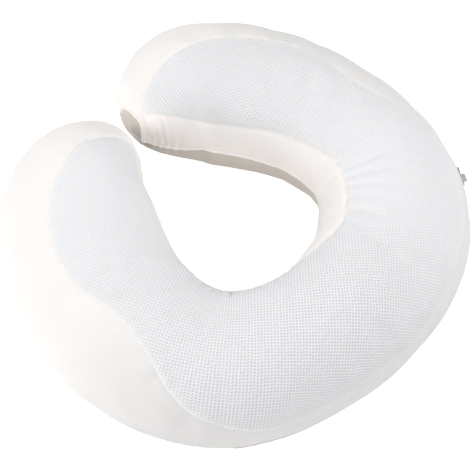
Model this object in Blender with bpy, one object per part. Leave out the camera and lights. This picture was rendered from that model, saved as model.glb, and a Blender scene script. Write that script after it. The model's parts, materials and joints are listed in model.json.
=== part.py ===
"""A u-shaped travel pillow, made as its maker cuts and sews it.

The pillow lies flat on its base, z = 0. Its arms point towards -Y and all but meet, the back of the
neck is at +Y, and X runs from arm to arm. The origin is under the middle of the whole. Sizes are
millimetres and degrees until a mesh is made.

One filled body carries everything. A mesh panel lies over its crown and a base panel under it, each
let into the body by its own thickness, and a zip with its slider and pull runs round the back.
"""

import math
from bisect import bisect_right
from collections import namedtuple

import bpy
import bmesh
from mathutils import Matrix, Vector

MM = 0.001

# Clearances and cloth
GAP = 0.35                # left between neighbouring pieces
SEAM_WIDTH = 0.9          # from the band's edge to the foot of the recess that a panel lies in
EDGE_PLAY = 0.6           # from that foot to the panel's own edge
END_PLAY = 1.2            # the same at a panel's two ends, where the arms curve away
MESH_SEAM_DEPTH = 2.2     # how far the seam of the mesh panel draws the filling in
BASE_SEAM_DEPTH = 0.8     # and the seam of the base panel
SEAM_REACH = 7.0          # how far from a seam that is felt
LEAST_DRAW = 0.01         # anything less is no draw at all, so the pressed base stays flat

# The two panels: where each ends on the arms, as a length of spine short of a tip, and how thick it
# is, in its middle and where its edge is sewn down
Panel = namedtuple("Panel", "end thickness edge_thickness")
PANELS = {
    "mesh": Panel(10.0, 3.0, 1.2),
    "base": Panel(6.5, 1.5, 0.8),
}
MESH_ROUNDING = 16.0      # length over which the mesh panel's end rounds off
MESH_END_WIDTH = 0.6      # share of its width that is left at the very end

# Section through the pillow: quarters of a superellipse, where 2 is an ellipse and more is squarer
OUTER_CROWN = 2.0
INNER_CROWN = 3.2
BELLY = 2.4
WAIST = 0.45              # height of the widest place, as a share of the whole height
BELLY_PRESS = 1.1         # the belly is drawn this much deeper, then pressed flat by what it lies on

# The arms' round ends
END_LENGTH = 60.0         # length of spine over which an arm rounds off
END_POWER = 1.9           # 2 is an ellipse, more is blunter
END_LEAN = 0.48           # an end is set back on its outer side and reaches forward on its inner one

# Rows from the left arm's tip round the back to the right arm's tip. Turns are from the back of the
# neck. A seam's place is a turn up the section from its outer side: the mesh panel lies between
# outer_seam and inner_seam, and low_seam joins the band to the base panel outside. The cover sits a
# little unevenly on the two arms, as in use.
Station = namedtuple("Station", "turn radius half_width height low_seam outer_seam inner_seam")
STATIONS = (
    Station(-177, 104, 42, 92, -4, 96, 120),
    Station(-150, 108, 52, 86, -4, 82, 150),
    Station(-120, 101, 52, 78, -4, 64, 152),
    Station(-90, 101, 48, 75, 0, 68, 148),
    Station(-60, 105, 48, 75, 8, 50, 127),
    Station(-30, 105, 50, 80, 8, 40, 122),
    Station(0, 104, 43, 85, -6, 16, 146),
    Station(30, 107, 44, 80, -13, 10, 152),
    Station(60, 111, 50, 75, -13, 31, 152),
    Station(90, 107, 54, 76, -14, 78, 152),
    Station(120, 102, 53, 80, -14, 67, 152),
    Station(150, 110, 50, 87, -14, 84, 150),
    Station(177, 103, 40, 92, -10, 110, 152),
)
INNER_LOW_SEAM = 181.0    # where the base panel meets the band inside, over the crown and down

# The zip, by turns from the back of the neck
ZIP_START = -56.0
ZIP_STOP = 54.0
SLIDER_TURN = -52.0
ZIP_LIFT = 1.2            # above the lower seam
TAPE_WIDTH = 6.0
TAPE_THICKNESS = 0.8
TAPE_MARGIN = 0.04        # share of the tape's place left free at each edge
TEETH_SHARE = 0.36        # share of the tape's width that the closed teeth take
TEETH_HEIGHT = 1.0

# The slider and its pull
SLIDER_LENGTH = 8.0
SLIDER_WIDTH = 5.6
SLIDER_NOSE = 3.6         # width of its narrow end
SLIDER_HEIGHT = 2.2
BAIL_LENGTH = 5.0
BAIL_OPENING = 1.8        # height under it
BAIL_WIDTH = 1.4
BAIL_WIRE = 0.9
BAIL_ROOT = 0.5           # how deep its feet sit in the slider
PULL_LENGTH = 12.0
PULL_WIDTH = 4.4
PULL_THICKNESS = 0.9
PULL_EYE = 2.4
PULL_RIM = 1.0            # metal left round the eye's end
ROUND_STEPS = 4           # points on a quarter of a rounded corner

# How finely the forms are drawn
ROWS_ALONG = 44           # between the places where the arms start to round off
ROWS_ROUND_END = 7
ROW_MERGE = 2.4           # a row this near to a panel's end gives way to it
SPINE_STEPS = 720
SECTION_STEPS = 144
BAND_STEPS = (0.25, 0.5, 0.75)
WALL_STEPS = (0.2, 0.5, 0.8)
MESH_STEPS = (0.07, 0.21, 0.4, 0.6, 0.79, 0.93)
BASE_STEPS = (0.1, 0.24, 0.38, 0.62, 0.76, 0.9)
TINY = 1e-6


def clear_scene():
    """Remove whatever the scene starts with."""
    for thing in list(bpy.data.objects):
        bpy.data.objects.remove(thing, do_unlink=True)


def read_table(turn, column):
    """Return a column of STATIONS at any turn, on a smooth curve through its rows."""
    turns = [row.turn for row in STATIONS]
    last = len(turns) - 1
    k = min(max(bisect_right(turns, turn) - 1, 0), last - 1)
    a, b, c, d = (getattr(STATIONS[min(max(i, 0), last)], column) for i in range(k - 1, k + 3))
    t = (turn - turns[k]) / (turns[k + 1] - turns[k])
    linear = c - a
    square = 2 * a - 5 * b + 4 * c - d
    cube = 3 * b - a - 3 * c + d
    return b + 0.5 * (linear * t + square * t ** 2 + cube * t ** 3)


def spine_point(turn):
    """Return the spine's place in plan at a turn from the back of the neck."""
    radius = read_table(turn, "radius")
    angle = math.radians(turn)
    return Vector((radius * math.sin(angle), radius * math.cos(angle), 0.0))


def find_share(steps, value):
    """Return which step of a rising list holds a value, and how far into the step it is."""
    k = min(max(bisect_right(steps, value) - 1, 0), len(steps) - 2)
    return k, (value - steps[k]) / max(steps[k + 1] - steps[k], TINY)


def follow(xs, ys, x):
    """Return y at x on the polyline of xs and ys."""
    k, share = find_share(xs, x)
    return ys[k] + share * (ys[k + 1] - ys[k])


class Section:
    """One slice across the pillow, square to the spine but for the lean of an arm's end."""

    def __init__(self, turn, from_tip, side):
        self.turn = turn
        self.from_tip = from_tip
        self.centre = spine_point(turn)
        self.along = (spine_point(turn + 0.5) - spine_point(turn - 0.5)).normalized()
        self.outward = Vector((-self.along.y, self.along.x, 0.0))
        rounded = max(0.0, 1.0 - from_tip / END_LENGTH)
        shrink = max(0.0, 1.0 - rounded ** END_POWER) ** (1.0 / END_POWER)
        height = read_table(turn, "height")
        self.shrink = shrink
        self.half_width = read_table(turn, "half_width") * shrink
        self.waist = height * WAIST
        self.crown = height * (1 - WAIST) * shrink
        self.belly = height * WAIST * BELLY_PRESS * shrink
        self.lean = -side * END_LEAN * rounded

    def point(self, turn):
        """Return the point at a turn up the section from its outer side."""
        across, up = math.cos(math.radians(turn)), math.sin(math.radians(turn))
        power = BELLY if up < 0 else OUTER_CROWN if across > 0 else INNER_CROWN
        out = self.half_width * math.copysign(abs(across) ** (2 / power), across)
        rise = math.copysign(abs(up) ** (2 / power), up)
        place = self.centre + self.outward * out + self.along * (self.lean * out)
        place.z = max(self.waist + (self.crown if up > 0 else self.belly) * rise, 0.0)
        return place

    def columns(self, start, stop, places):
        """Return (turn, length from start, length to stop) for each of places between two turns."""
        steps = max(4, round(SECTION_STEPS * (stop - start) / 360))
        turns = [start + (stop - start) * i / steps for i in range(steps + 1)]
        points = [self.point(turn) for turn in turns]
        runs = [0.0]
        for before, after in zip(points, points[1:]):
            runs.append(runs[-1] + (after - before).length)
        return [(follow(runs, turns, place), place, runs[-1] - place) for place in places(runs[-1])]


def band_places(length):
    """Return the outer band's columns: its low edge, the zip's two edges, and up to its high edge."""
    low = min(ZIP_LIFT, 0.1 * length)
    high = min(ZIP_LIFT + TAPE_WIDTH, 0.4 * length)
    return [0.0, low, high] + [high + (length - high) * step for step in BAND_STEPS] + [length]


def wall_places(length):
    """Return the columns of the band on the inner wall, edge to edge."""
    return [0.0] + [length * step for step in WALL_STEPS] + [length]


def panel_places(length, steps):
    """Return a panel's columns: the recess's foot, the panel's edge, steps across it, edge, foot."""
    foot = min(SEAM_WIDTH, 0.08 * length)
    edge = foot + min(EDGE_PLAY, 0.06 * length)
    inside = [edge + (length - 2 * edge) * step for step in steps]
    return [foot, edge] + inside + [length - edge, length - foot]


def mesh_places(length):
    """Return the mesh panel's columns."""
    return panel_places(length, MESH_STEPS)


def base_places(length):
    """Return the base panel's columns."""
    return panel_places(length, BASE_STEPS)


def mesh_seams(section):
    """Return the turns of the mesh panel's two seams on a section, rounded off near the panel's end."""
    outer = read_table(section.turn, "outer_seam")
    inner = read_table(section.turn, "inner_seam")
    left = min(max((section.from_tip - PANELS["mesh"].end) / MESH_ROUNDING, 0.0), 1.0)
    share = MESH_END_WIDTH + (1 - MESH_END_WIDTH) * math.sqrt(1 - (1 - left) ** 2)
    middle, half = (outer + inner) / 2, (inner - outer) / 2
    return middle - half * share, middle + half * share


def seam_draw(kind, section, depths, edges):
    """Return how far the seams draw a cell in, from its part's two seams: their depths and distances."""
    past_end = PANELS["mesh"].end - section.from_tip
    felt = []
    for depth, edge in zip(depths, edges):
        if depth == MESH_SEAM_DEPTH and past_end > 0:
            edge = math.hypot(edge if kind == "band" else 0.0, past_end)
        felt.append(depth * math.exp(-(edge / SEAM_REACH) ** 2))
    if kind == "mesh" and past_end <= 0:
        felt.append(MESH_SEAM_DEPTH * math.exp(-(past_end / SEAM_REACH) ** 2))
    draw = max(felt) * min(1.0, 2 * section.shrink)
    return draw if draw > LEAST_DRAW else 0.0


class Form:
    """The dressed pillow's outside as a grid: a row for each section, a column for each line along it."""

    def __init__(self):
        first, last = STATIONS[0].turn, STATIONS[-1].turn
        self.turns = [first + (last - first) * i / SPINE_STEPS for i in range(SPINE_STEPS + 1)]
        self.lengths = [0.0]
        for before, after in zip(self.turns, self.turns[1:]):
            step = (spine_point(after) - spine_point(before)).length
            self.lengths.append(self.lengths[-1] + step)
        self.length = self.lengths[-1]
        self.sections = [self.section(run) for run in self.row_lengths()]
        self.points, self.draws, self.kinds = [], [], []
        for section in self.sections:
            self.add_row(section)
        self.tips = [self.section(run).centre + Vector((0, 0, self.section(run).waist))
                     for run in (0.0, self.length)]
        self.normals = self.find_normals()

    def section(self, run):
        """Return the section at a length of spine from the left arm's tip."""
        side = 1.0 if run > self.length / 2 else -1.0
        return Section(follow(self.lengths, self.turns, run), min(run, self.length - run), side)

    def row_lengths(self):
        """Return where the sections stand between the two tips, with the rows that end the panels."""
        ends = [panel.end - inset for panel in PANELS.values()
                for inset in (0.0, END_PLAY, END_PLAY + SEAM_WIDTH)]
        steps = [math.pi / 2 * i / ROWS_ROUND_END for i in range(1, ROWS_ROUND_END)]
        round_end = [END_LENGTH * (1 - math.sin(step)) for step in steps]
        kept = [run for run in round_end if min(abs(run - end) for end in ends) > ROW_MERGE]
        tip = sorted(ends + kept)
        straight = self.length - 2 * END_LENGTH
        middle = [END_LENGTH + straight * i / ROWS_ALONG for i in range(ROWS_ALONG + 1)]
        return tip + middle + [self.length - run for run in reversed(tip)]

    def add_row(self, section):
        """Work out one section's points, kinds and draws."""
        low = read_table(section.turn, "low_seam")
        outer, inner = mesh_seams(section)
        parts = (
            ("band", low, outer, band_places, (BASE_SEAM_DEPTH, MESH_SEAM_DEPTH)),
            ("mesh", outer, inner, mesh_places, (MESH_SEAM_DEPTH, MESH_SEAM_DEPTH)),
            ("band", inner, INNER_LOW_SEAM, wall_places, (MESH_SEAM_DEPTH, BASE_SEAM_DEPTH)),
            ("base", INNER_LOW_SEAM, low + 360, base_places, (BASE_SEAM_DEPTH, BASE_SEAM_DEPTH)),
        )
        points, draws, kinds = [], [], []
        for kind, start, stop, places, depths in parts:
            for turn, *edges in section.columns(start, stop, places):
                points.append(section.point(turn))
                draws.append(seam_draw(kind, section, depths, edges))
                kinds.append(kind)
        self.points.append(points)
        self.draws.append(draws)
        self.kinds = kinds

    def find_normals(self):
        """Return the outward direction at every cell, from its neighbours."""
        columns = len(self.kinds)
        rows = [[self.tips[0]] * columns] + self.points + [[self.tips[1]] * columns]
        normals = []
        for before, row, after in zip(rows, rows[1:], rows[2:]):
            around = [row[(j + 1) % columns] - row[j - 1] for j in range(columns)]
            normals.append([around[j].cross(after[j] - before[j]).normalized() for j in range(columns)])
        return normals

    def cell(self, i, j, depth):
        """Return a cell's place at a depth under the dressed surface."""
        return self.points[i][j] - self.normals[i][j] * (self.draws[i][j] + depth)

    def panel_cells(self, kind):
        """Return a panel's own rows and columns, without the feet of its recess."""
        rows = [i for i, section in enumerate(self.sections) if section.from_tip > PANELS[kind].end - TINY]
        return rows, [j for j, found in enumerate(self.kinds) if found == kind][1:-1]

    def cover(self, i, j):
        """Return how thick the panel over a cell is, nothing on the band and past a panel's end."""
        panel = PANELS.get(self.kinds[j])
        if not panel or self.sections[i].from_tip < panel.end - END_PLAY - TINY:
            return 0.0
        rows, columns = self.panel_cells(self.kinds[j])
        sewn = not (rows[0] < i < rows[-1] and columns[0] < j < columns[-1])
        return panel.edge_thickness if sewn else panel.thickness


def make_object(name, points, faces, material, flat=False):
    """Make a closed mesh object from points in millimetres, its faces pointing out."""
    mesh = bpy.data.meshes.new(name)
    mesh.from_pydata([tuple(point * MM) for point in points], [], faces)
    shape = bmesh.new()
    shape.from_mesh(mesh)
    bmesh.ops.recalc_face_normals(shape, faces=shape.faces)
    shape.to_mesh(mesh)
    shape.free()
    if not flat:
        mesh.shade_smooth()
    mesh.materials.append(material)
    thing = bpy.data.objects.new(name, mesh)
    bpy.context.collection.objects.link(thing)
    return thing


def make_material(name, colour, roughness, metallic=0.0):
    """Make a Principled material."""
    material = bpy.data.materials.new(name)
    material.use_nodes = True
    shader = material.node_tree.nodes["Principled BSDF"]
    shader.inputs["Base Color"].default_value = (*colour, 1.0)
    shader.inputs["Roughness"].default_value = roughness
    shader.inputs["Metallic"].default_value = metallic
    return material


def strip_faces(start, across, along, closed=False):
    """Return triangles for a grid of points, row by row, every square cut along the same diagonal."""
    faces = []
    for i in range(along - 1):
        for j in range(across if closed else across - 1):
            a = start + i * across + j
            b = start + i * across + (j + 1) % across
            faces += [(a, b, b + across), (a, b + across, a + across)]
    return faces


def loft_rings(rings):
    """Return points and faces of a tube through rings of points, capped at both ends."""
    count = len(rings[0])
    points = [point for ring in rings for point in ring]
    faces = [tuple(range(count)), tuple(range(len(points) - count, len(points)))]
    for i in range(len(rings) - 1):
        for j in range(count):
            a, b = i * count + j, i * count + (j + 1) % count
            faces.append((a, b, b + count, a + count))
    return points, faces


def build_body(form, material):
    """Make the filled body, whose band shows and whose crown and belly are let in for the panels."""
    count = len(form.kinds)
    points = []
    for i in range(len(form.sections)):
        covers = [form.cover(i, j) for j in range(count)]
        points += [form.cell(i, j, cover + GAP if cover else 0.0) for j, cover in enumerate(covers)]
    faces = strip_faces(0, count, len(form.sections), closed=True)
    for tip, row in zip(form.tips, (0, len(form.sections) - 1)):
        points.append(tip)
        faces += [(row * count + j, row * count + (j + 1) % count, len(points) - 1) for j in range(count)]
    return make_object("filled_body", points, faces, material)


def build_panel(name, form, kind, material):
    """Make a panel as a sheet over the body, its upper face in the dressed surface."""
    rows, columns = form.panel_cells(kind)
    points = [form.cell(i, j, 0.0) for i in rows for j in columns]
    points += [form.cell(i, j, form.cover(i, j)) for i in rows for j in columns]
    across, along = len(columns), len(rows)
    under = across * along
    faces = strip_faces(0, across, along) + strip_faces(under, across, along)
    rim = list(range(across)) + [i * across + across - 1 for i in range(1, along)]
    rim += list(range(under - 2, under - across - 1, -1)) + [i * across for i in range(along - 2, 0, -1)]
    for a, b in zip(rim, rim[1:] + rim[:1]):
        faces += [(a, b, a + under), (b, b + under, a + under)]
    return make_object(name, points, faces, material)


def zip_frame(form, i):
    """Return a row's low and high edge of the zip's place on the band, and the way out of it."""
    low, high = form.cell(i, 1, 0.0), form.cell(i, 2, 0.0)
    out = (form.normals[i][1] + form.normals[i][2]).normalized()
    return low, high, out


def build_tape(form, material):
    """Make the zip's tape with its closed teeth as one ribbed strip on the band."""
    inner, outer = (1 - TEETH_SHARE) / 2, (1 + TEETH_SHARE) / 2
    top = TAPE_THICKNESS + TEETH_HEIGHT
    slope = 0.2 * TEETH_SHARE
    profile = ((TAPE_MARGIN, 0), (1 - TAPE_MARGIN, 0), (1 - TAPE_MARGIN, TAPE_THICKNESS),
               (outer, TAPE_THICKNESS), (outer - slope, top), (inner + slope, top),
               (inner, TAPE_THICKNESS), (TAPE_MARGIN, TAPE_THICKNESS))
    rings = []
    for i, section in enumerate(form.sections):
        if ZIP_START <= section.turn <= ZIP_STOP:
            low, high, out = zip_frame(form, i)
            rings.append([low.lerp(high, share) + out * (GAP + lift) for share, lift in profile])
    points, faces = loft_rings(rings)
    return make_object("zip_tape", points, faces, material, flat=True)


def rounded_outline(corners, radius):
    """Return an outline's points with each of its square corners rounded."""
    outline = []
    count = len(corners)
    for k, corner in enumerate(corners):
        before, after = Vector(corners[k - 1]), Vector(corners[(k + 1) % count])
        corner = Vector(corner)
        start = corner + (before - corner).normalized() * radius
        stop = corner + (after - corner).normalized() * radius
        for i in range(ROUND_STEPS + 1):
            t = i / ROUND_STEPS
            outline.append(start * (1 - t) ** 2 + corner * 2 * t * (1 - t) + stop * t ** 2)
    return outline


class SliderFrame:
    """Where the slider sits: on the teeth, between two rows, with the pull towards the left arm's tip."""

    def __init__(self, form):
        i = min(range(len(form.sections)), key=lambda k: abs(form.sections[k].turn - SLIDER_TURN))
        low, high, out = zip_frame(form, i)
        low_next, high_next, out_next = zip_frame(form, i + 1)
        self.up = (out + out_next).normalized()
        middle = (low + high + low_next + high_next) / 4
        along = (low_next + high_next - low - high) / 2
        self.along = (along - self.up * along.dot(self.up)).normalized()
        self.across = self.up.cross(self.along)
        self.origin = middle + self.up * (2 * GAP + TAPE_THICKNESS + TEETH_HEIGHT)

    def place(self, along, across, up):
        """Return the point at lengths along, across and up from the slider's underside."""
        return self.origin + self.along * along + self.across * across + self.up * up


def build_slider(frame, material):
    """Make the slider, narrower at its nose, with the bail that holds the pull."""
    half = SLIDER_LENGTH / 2
    nose, tail = SLIDER_NOSE / 2, SLIDER_WIDTH / 2
    outline = rounded_outline(((-half, -nose), (half, -tail), (half, tail), (-half, nose)), nose / 2)
    levels = ((0.0, 0.94), (0.4, 1.0), (SLIDER_HEIGHT - 0.5, 1.0), (SLIDER_HEIGHT, 0.88))
    rings = [[frame.place(a * share, b * share, level) for a, b in outline] for level, share in levels]
    points, faces = loft_rings(rings)
    slider = make_object("zip_slider", points, faces, material)

    foot = SLIDER_HEIGHT - BAIL_ROOT
    eaves = SLIDER_HEIGHT + BAIL_OPENING
    outer, inner = BAIL_LENGTH / 2, BAIL_LENGTH / 2 - BAIL_WIRE
    arch = ((-outer, foot), (-outer, eaves), (-inner, eaves + BAIL_WIRE), (inner, eaves + BAIL_WIRE),
            (outer, eaves), (outer, foot), (inner, foot), (inner, eaves), (-inner, eaves), (-inner, foot))
    rings = [[frame.place(a, side * BAIL_WIDTH / 2, level) for a, level in arch] for side in (-1, 1)]
    points, faces = loft_rings(rings)
    bail = make_object("bail_shape", points, faces, material, flat=True)
    bail.hide_render = True
    bail.display_type = "WIRE"
    union = slider.modifiers.new("bail", "BOOLEAN")
    union.operation = "UNION"
    union.object = bail
    return slider


def build_pull(frame, material):
    """Make the pull, a flat tab whose eye goes round one foot of the bail."""
    foot = BAIL_LENGTH / 2 - BAIL_WIRE / 2
    near = -foot + PULL_EYE / 2 + PULL_RIM
    far = near - PULL_LENGTH
    half = PULL_WIDTH / 2
    tab = rounded_outline(((far, -half), (near, -half), (near, half), (far, half)), half * 0.6)
    eye_half = PULL_EYE / 2
    eye = rounded_outline(((-foot - eye_half, -eye_half), (-foot + eye_half, -eye_half),
                           (-foot + eye_half, eye_half), (-foot - eye_half, eye_half)), eye_half * 0.4)
    count = len(tab)
    low = SLIDER_HEIGHT + GAP
    points = []
    for level in (low, low + PULL_THICKNESS):
        points += [frame.place(a, b, level) for a, b in tab + eye]
    faces = []
    for j in range(count):
        k = (j + 1) % count
        faces.append((j, k, k + count, j + count))
        faces.append((j + 2 * count, k + 2 * count, k + 3 * count, j + 3 * count))
        faces.append((j, k, k + 2 * count, j + 2 * count))
        faces.append((j + count, k + count, k + 3 * count, j + 3 * count))
    return make_object("zip_pull", points, faces, material)


def centre_pieces():
    """Bring the middle of all pieces over the origin and their lowest point to z = 0."""
    points = [vertex.co for thing in bpy.data.objects for vertex in thing.data.vertices]
    low = [min(point[axis] for point in points) for axis in range(3)]
    high = [max(point[axis] for point in points) for axis in range(3)]
    shift = Matrix.Translation((-(low[0] + high[0]) / 2, -(low[1] + high[1]) / 2, -low[2]))
    for thing in bpy.data.objects:
        thing.data.transform(shift)


def main():
    """Build the pillow's six pieces."""
    clear_scene()
    form = Form()
    band = make_material("smooth_cloth", (0.90, 0.87, 0.84), 0.85)
    mesh = make_material("spacer_mesh", (0.80, 0.82, 0.86), 0.8)
    base = make_material("base_cloth", (0.86, 0.82, 0.79), 0.85)
    tape = make_material("zip_tape_cloth", (0.78, 0.76, 0.74), 0.7)
    metal = make_material("zip_metal", (0.42, 0.42, 0.43), 0.35, 0.9)
    build_body(form, band)
    build_panel("mesh_panel", form, "mesh", mesh)
    build_panel("base_panel", form, "base", base)
    build_tape(form, tape)
    frame = SliderFrame(form)
    build_slider(frame, metal)
    build_pull(frame, metal)
    centre_pieces()


main()
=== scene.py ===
"""A u-shaped travel pillow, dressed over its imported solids.

Three cloth pieces take the places of the plain ones: the smooth cover with the foam in it, the mesh
panel over its crown and the base panel under it. A zip with closed teeth runs round the back of the
neck and ends in a slider with its pull. Tables are in millimetres and degrees, meshes in metres.
"""

import json
import logging
import math
from collections.abc import Callable
from dataclasses import dataclass, field
from enum import Enum

import bmesh
import bpy
import numpy as np
from mathutils import Matrix, Vector
from mathutils.kdtree import KDTree

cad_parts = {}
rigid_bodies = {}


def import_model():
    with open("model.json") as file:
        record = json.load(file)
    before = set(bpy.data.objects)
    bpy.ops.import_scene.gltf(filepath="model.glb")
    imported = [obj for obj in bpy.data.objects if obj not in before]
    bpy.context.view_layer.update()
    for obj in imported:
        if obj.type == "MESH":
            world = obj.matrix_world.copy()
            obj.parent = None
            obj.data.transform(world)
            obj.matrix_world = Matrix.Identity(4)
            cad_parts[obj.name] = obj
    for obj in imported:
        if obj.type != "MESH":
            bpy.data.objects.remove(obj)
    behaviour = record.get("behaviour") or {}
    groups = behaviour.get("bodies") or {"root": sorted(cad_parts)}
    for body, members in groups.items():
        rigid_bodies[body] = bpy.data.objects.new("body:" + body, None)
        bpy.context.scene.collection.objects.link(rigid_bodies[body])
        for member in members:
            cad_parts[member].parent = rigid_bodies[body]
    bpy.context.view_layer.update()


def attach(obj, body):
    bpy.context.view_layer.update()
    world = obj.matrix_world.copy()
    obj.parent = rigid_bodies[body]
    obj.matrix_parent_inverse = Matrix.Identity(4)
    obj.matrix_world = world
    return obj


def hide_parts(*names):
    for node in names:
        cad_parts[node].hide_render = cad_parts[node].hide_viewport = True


LOG = logging.getLogger("travel_pillow")
MM = 0.001
BASE_END = 3.0  # from an arm's tip to the end of the base panel's strip
CROWDING = 0.6  # how strongly columns are drawn to the seams, from 0 to nearly 1
ZIP_START, ZIP_STOP = -56.0, 54.0  # the zip's ends, by their turns from the back of the neck
UP = Vector((0.0, 0.0, 1.0))


class Zone(Enum):
    """The four strips of cover that follow one another round a section."""

    BAND = "outer side"
    MESH = "mesh panel"
    WALL = "inner wall"
    BASE = "base panel"


@dataclass(frozen=True)
class Station:
    """One section of the ring, by its turn from the back of the neck."""

    turn: float
    radius: float
    half_width: float
    height: float
    low_seam: float


@dataclass(frozen=True)
class SeamStation:
    """Where the seams cross a section, and how much painted shade the net's holes show there.

    The outer and inner seams are the mesh panel's, in degrees up from the outer side. The foot is the
    inner wall's seam with the base, in millimetres below the widest place. Open sets the painted shade in
    the holes, the most round the neck's back, where the light grazes the net.
    """

    turn: float
    outer: float
    inner: float
    foot: float
    open: float


@dataclass(frozen=True)
class MeshEnd:
    """How the mesh panel's two seams meet near an arm's tip, and over which length they bend."""

    from_tip: float
    place: float
    outer_reach: float
    inner_reach: float


@dataclass(frozen=True)
class Crease:
    """A short fold that runs across the pillow: its middle, its size and how it slants."""

    turn: float
    place: float
    length: float
    width: float
    depth: float
    slant: float = 0.0


STATIONS = (
    Station(-178, 104, 42, 92, -4),
    Station(-150, 107, 50, 86, -4),
    Station(-120, 101, 52, 78, -4),
    Station(-90, 101, 48, 75, 0),
    Station(-60, 106, 48, 75, -1),
    Station(-30, 105, 50, 80, -10),
    Station(0, 103, 46, 85, -26),
    Station(30, 106, 45, 80, -28),
    Station(60, 112, 50, 75, -21),
    Station(90, 108, 53, 76, -19),
    Station(120, 105, 54, 80, -14),
    Station(150, 108, 49, 87, -14),
    Station(178, 103, 40, 92, -10),
)
SEAMS = (
    SeamStation(-178, 90, 145, 3.8, 0.6),
    SeamStation(-165, 90, 150, 5.2, 0.6),
    SeamStation(-150, 81, 153, -0.6, 0.62),
    SeamStation(-135, 70, 150.5, -2.4, 0.6),
    SeamStation(-120, 64, 147, -2.6, 0.65),
    SeamStation(-105, 62, 144, -0.6, 0.7),
    SeamStation(-90, 68, 143, 0.2, 0.65),
    SeamStation(-75, 59, 137, 1.0, 0.58),
    SeamStation(-60, 28, 130.5, 2.0, 0.5),
    SeamStation(-45, 23, 128, 2.0, 0.45),
    SeamStation(-30, 26, 125, 1.4, 0.5),
    SeamStation(-15, 18, 124.5, 1.4, 0.68),
    SeamStation(0, 10, 137, 1.2, 0.88),
    SeamStation(15, 10, 151, 1.2, 0.98),
    SeamStation(30, 5, 157, 1.2, 1.0),
    SeamStation(45, 8, 160, 1.2, 0.95),
    SeamStation(60, 32, 162, 1.2, 0.85),
    SeamStation(75, 68, 162, 1.2, 0.75),
    SeamStation(90, 78, 162, 1.2, 0.62),
    SeamStation(105, 70, 162, 1.2, 0.52),
    SeamStation(120, 67, 162, 1.2, 0.45),
    SeamStation(135, 72, 162, 1.2, 0.42),
    SeamStation(150, 84, 162, 1.2, 0.42),
    SeamStation(165, 93, 162, 1.2, 0.45),
    SeamStation(178, 95, 162, 1.2, 0.5),
)
# Soft folds of the mesh panel that fan out from the neck opening, and short ones on the inner wall
CREASES = (
    Crease(-88, 140, 24, 3.0, 0.3, 0.1),
    Crease(-79, 128, 36, 3.0, 0.45, 0.1),
    Crease(-71, 120, 44, 3.2, 0.55, 0.15),
    Crease(-64, 112, 50, 3.4, 0.6, 0.1),
    Crease(-56, 108, 48, 3.0, 0.6, 0.05),
    Crease(-49, 106, 46, 3.2, 0.62, 0.0),
    Crease(-42, 106, 44, 3.0, 0.55, -0.05),
    Crease(-35, 108, 40, 3.0, 0.5, -0.1),
    Crease(-27, 110, 38, 3.2, 0.45, -0.1),
    Crease(-18, 116, 34, 3.0, 0.42, 0.0),
    Crease(-9, 128, 30, 2.8, 0.42, 0.0),
    Crease(18, 138, 22, 2.2, 0.6, 0.1),
    Crease(27, 132, 20, 1.8, 0.9, 0.15),
    Crease(33, 138, 18, 2.2, 0.6, 0.1),
    Crease(42, 142, 18, 2.2, 0.5, 0.0),
    Crease(50, 141, 14, 1.4, 1.3, -0.2),
    Crease(56, 144, 20, 2.4, 0.6, -0.1),
    Crease(64, 140, 28, 2.6, 0.6, -0.3),
    Crease(73, 138, 30, 2.8, 0.5, -0.4),
    Crease(-174.2, 172, 22, 1.3, 0.9, 0.1),
    Crease(-172.2, 174, 22, 1.2, 1.3, 0.0),
    Crease(-170, 172, 24, 1.3, 1.3, -0.1),
    Crease(-167.6, 176, 18, 1.4, 1.0, -0.15),
    Crease(-164.6, 178, 14, 1.5, 0.8, -0.2),
    Crease(-161, 179, 12, 1.6, 0.5, -0.2),
    Crease(66, 55, 20, 2.4, 0.4, 0.3),
    Crease(72, 66, 18, 2.2, 0.35, 0.3),
    Crease(55, 40, 34, 4.6, 0.45, 0.1),
    Crease(45, 30, 36, 4.2, 0.5, 0.0),
    Crease(36, 26, 34, 4.4, 0.4, -0.1),
    Crease(27, 28, 38, 4.8, 0.45, 0.0),
    Crease(18, 28, 34, 4.2, 0.35, 0.1),
    Crease(8, 28, 36, 4.6, 0.4, 0.0),
    Crease(-2, 28, 34, 4.4, 0.35, 0.0),
)


def curved(a: np.ndarray, b: np.ndarray, c: np.ndarray, d: np.ndarray, t: np.ndarray) -> np.ndarray:
    """Read a smooth curve through four values in a row, between the middle two.

    Args:
        a: The value before.
        b: The value where the share is 0.
        c: The value where the share is 1.
        d: The value after.
        t: The share of the way from b to c.

    Returns:
        The values on the curve.
    """
    linear, square, cube = c - a, 2 * a - 5 * b + 4 * c - d, 3 * b - a - 3 * c + d
    return b + 0.5 * (linear * t + square * t**2 + cube * t**3)


def ramp(x: np.ndarray, start: float, reach: float) -> np.ndarray:
    """Return shares that rise evenly from 0 at a start to 1 a reach further on."""
    return np.clip((x - start) / reach, 0, 1)


def eased(share: np.ndarray) -> np.ndarray:
    """Return shares from 0 to 1 that leave and arrive gently."""
    return share**2 * (3 - 2 * share)


def window(x: np.ndarray, start: float, stop: float, reach: float) -> np.ndarray:
    """Return shares of 1 between a start and a stop, which fade to 0 at both over a reach."""
    return ramp(x, start, reach) * ramp(-x, -stop, reach)


def runs_along(points: np.ndarray) -> np.ndarray:
    """Return how far along a path each of its points is."""
    steps = np.linalg.norm(np.diff(points, axis=0), axis=1)
    return np.concatenate([[0.0], np.cumsum(steps)])


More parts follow.
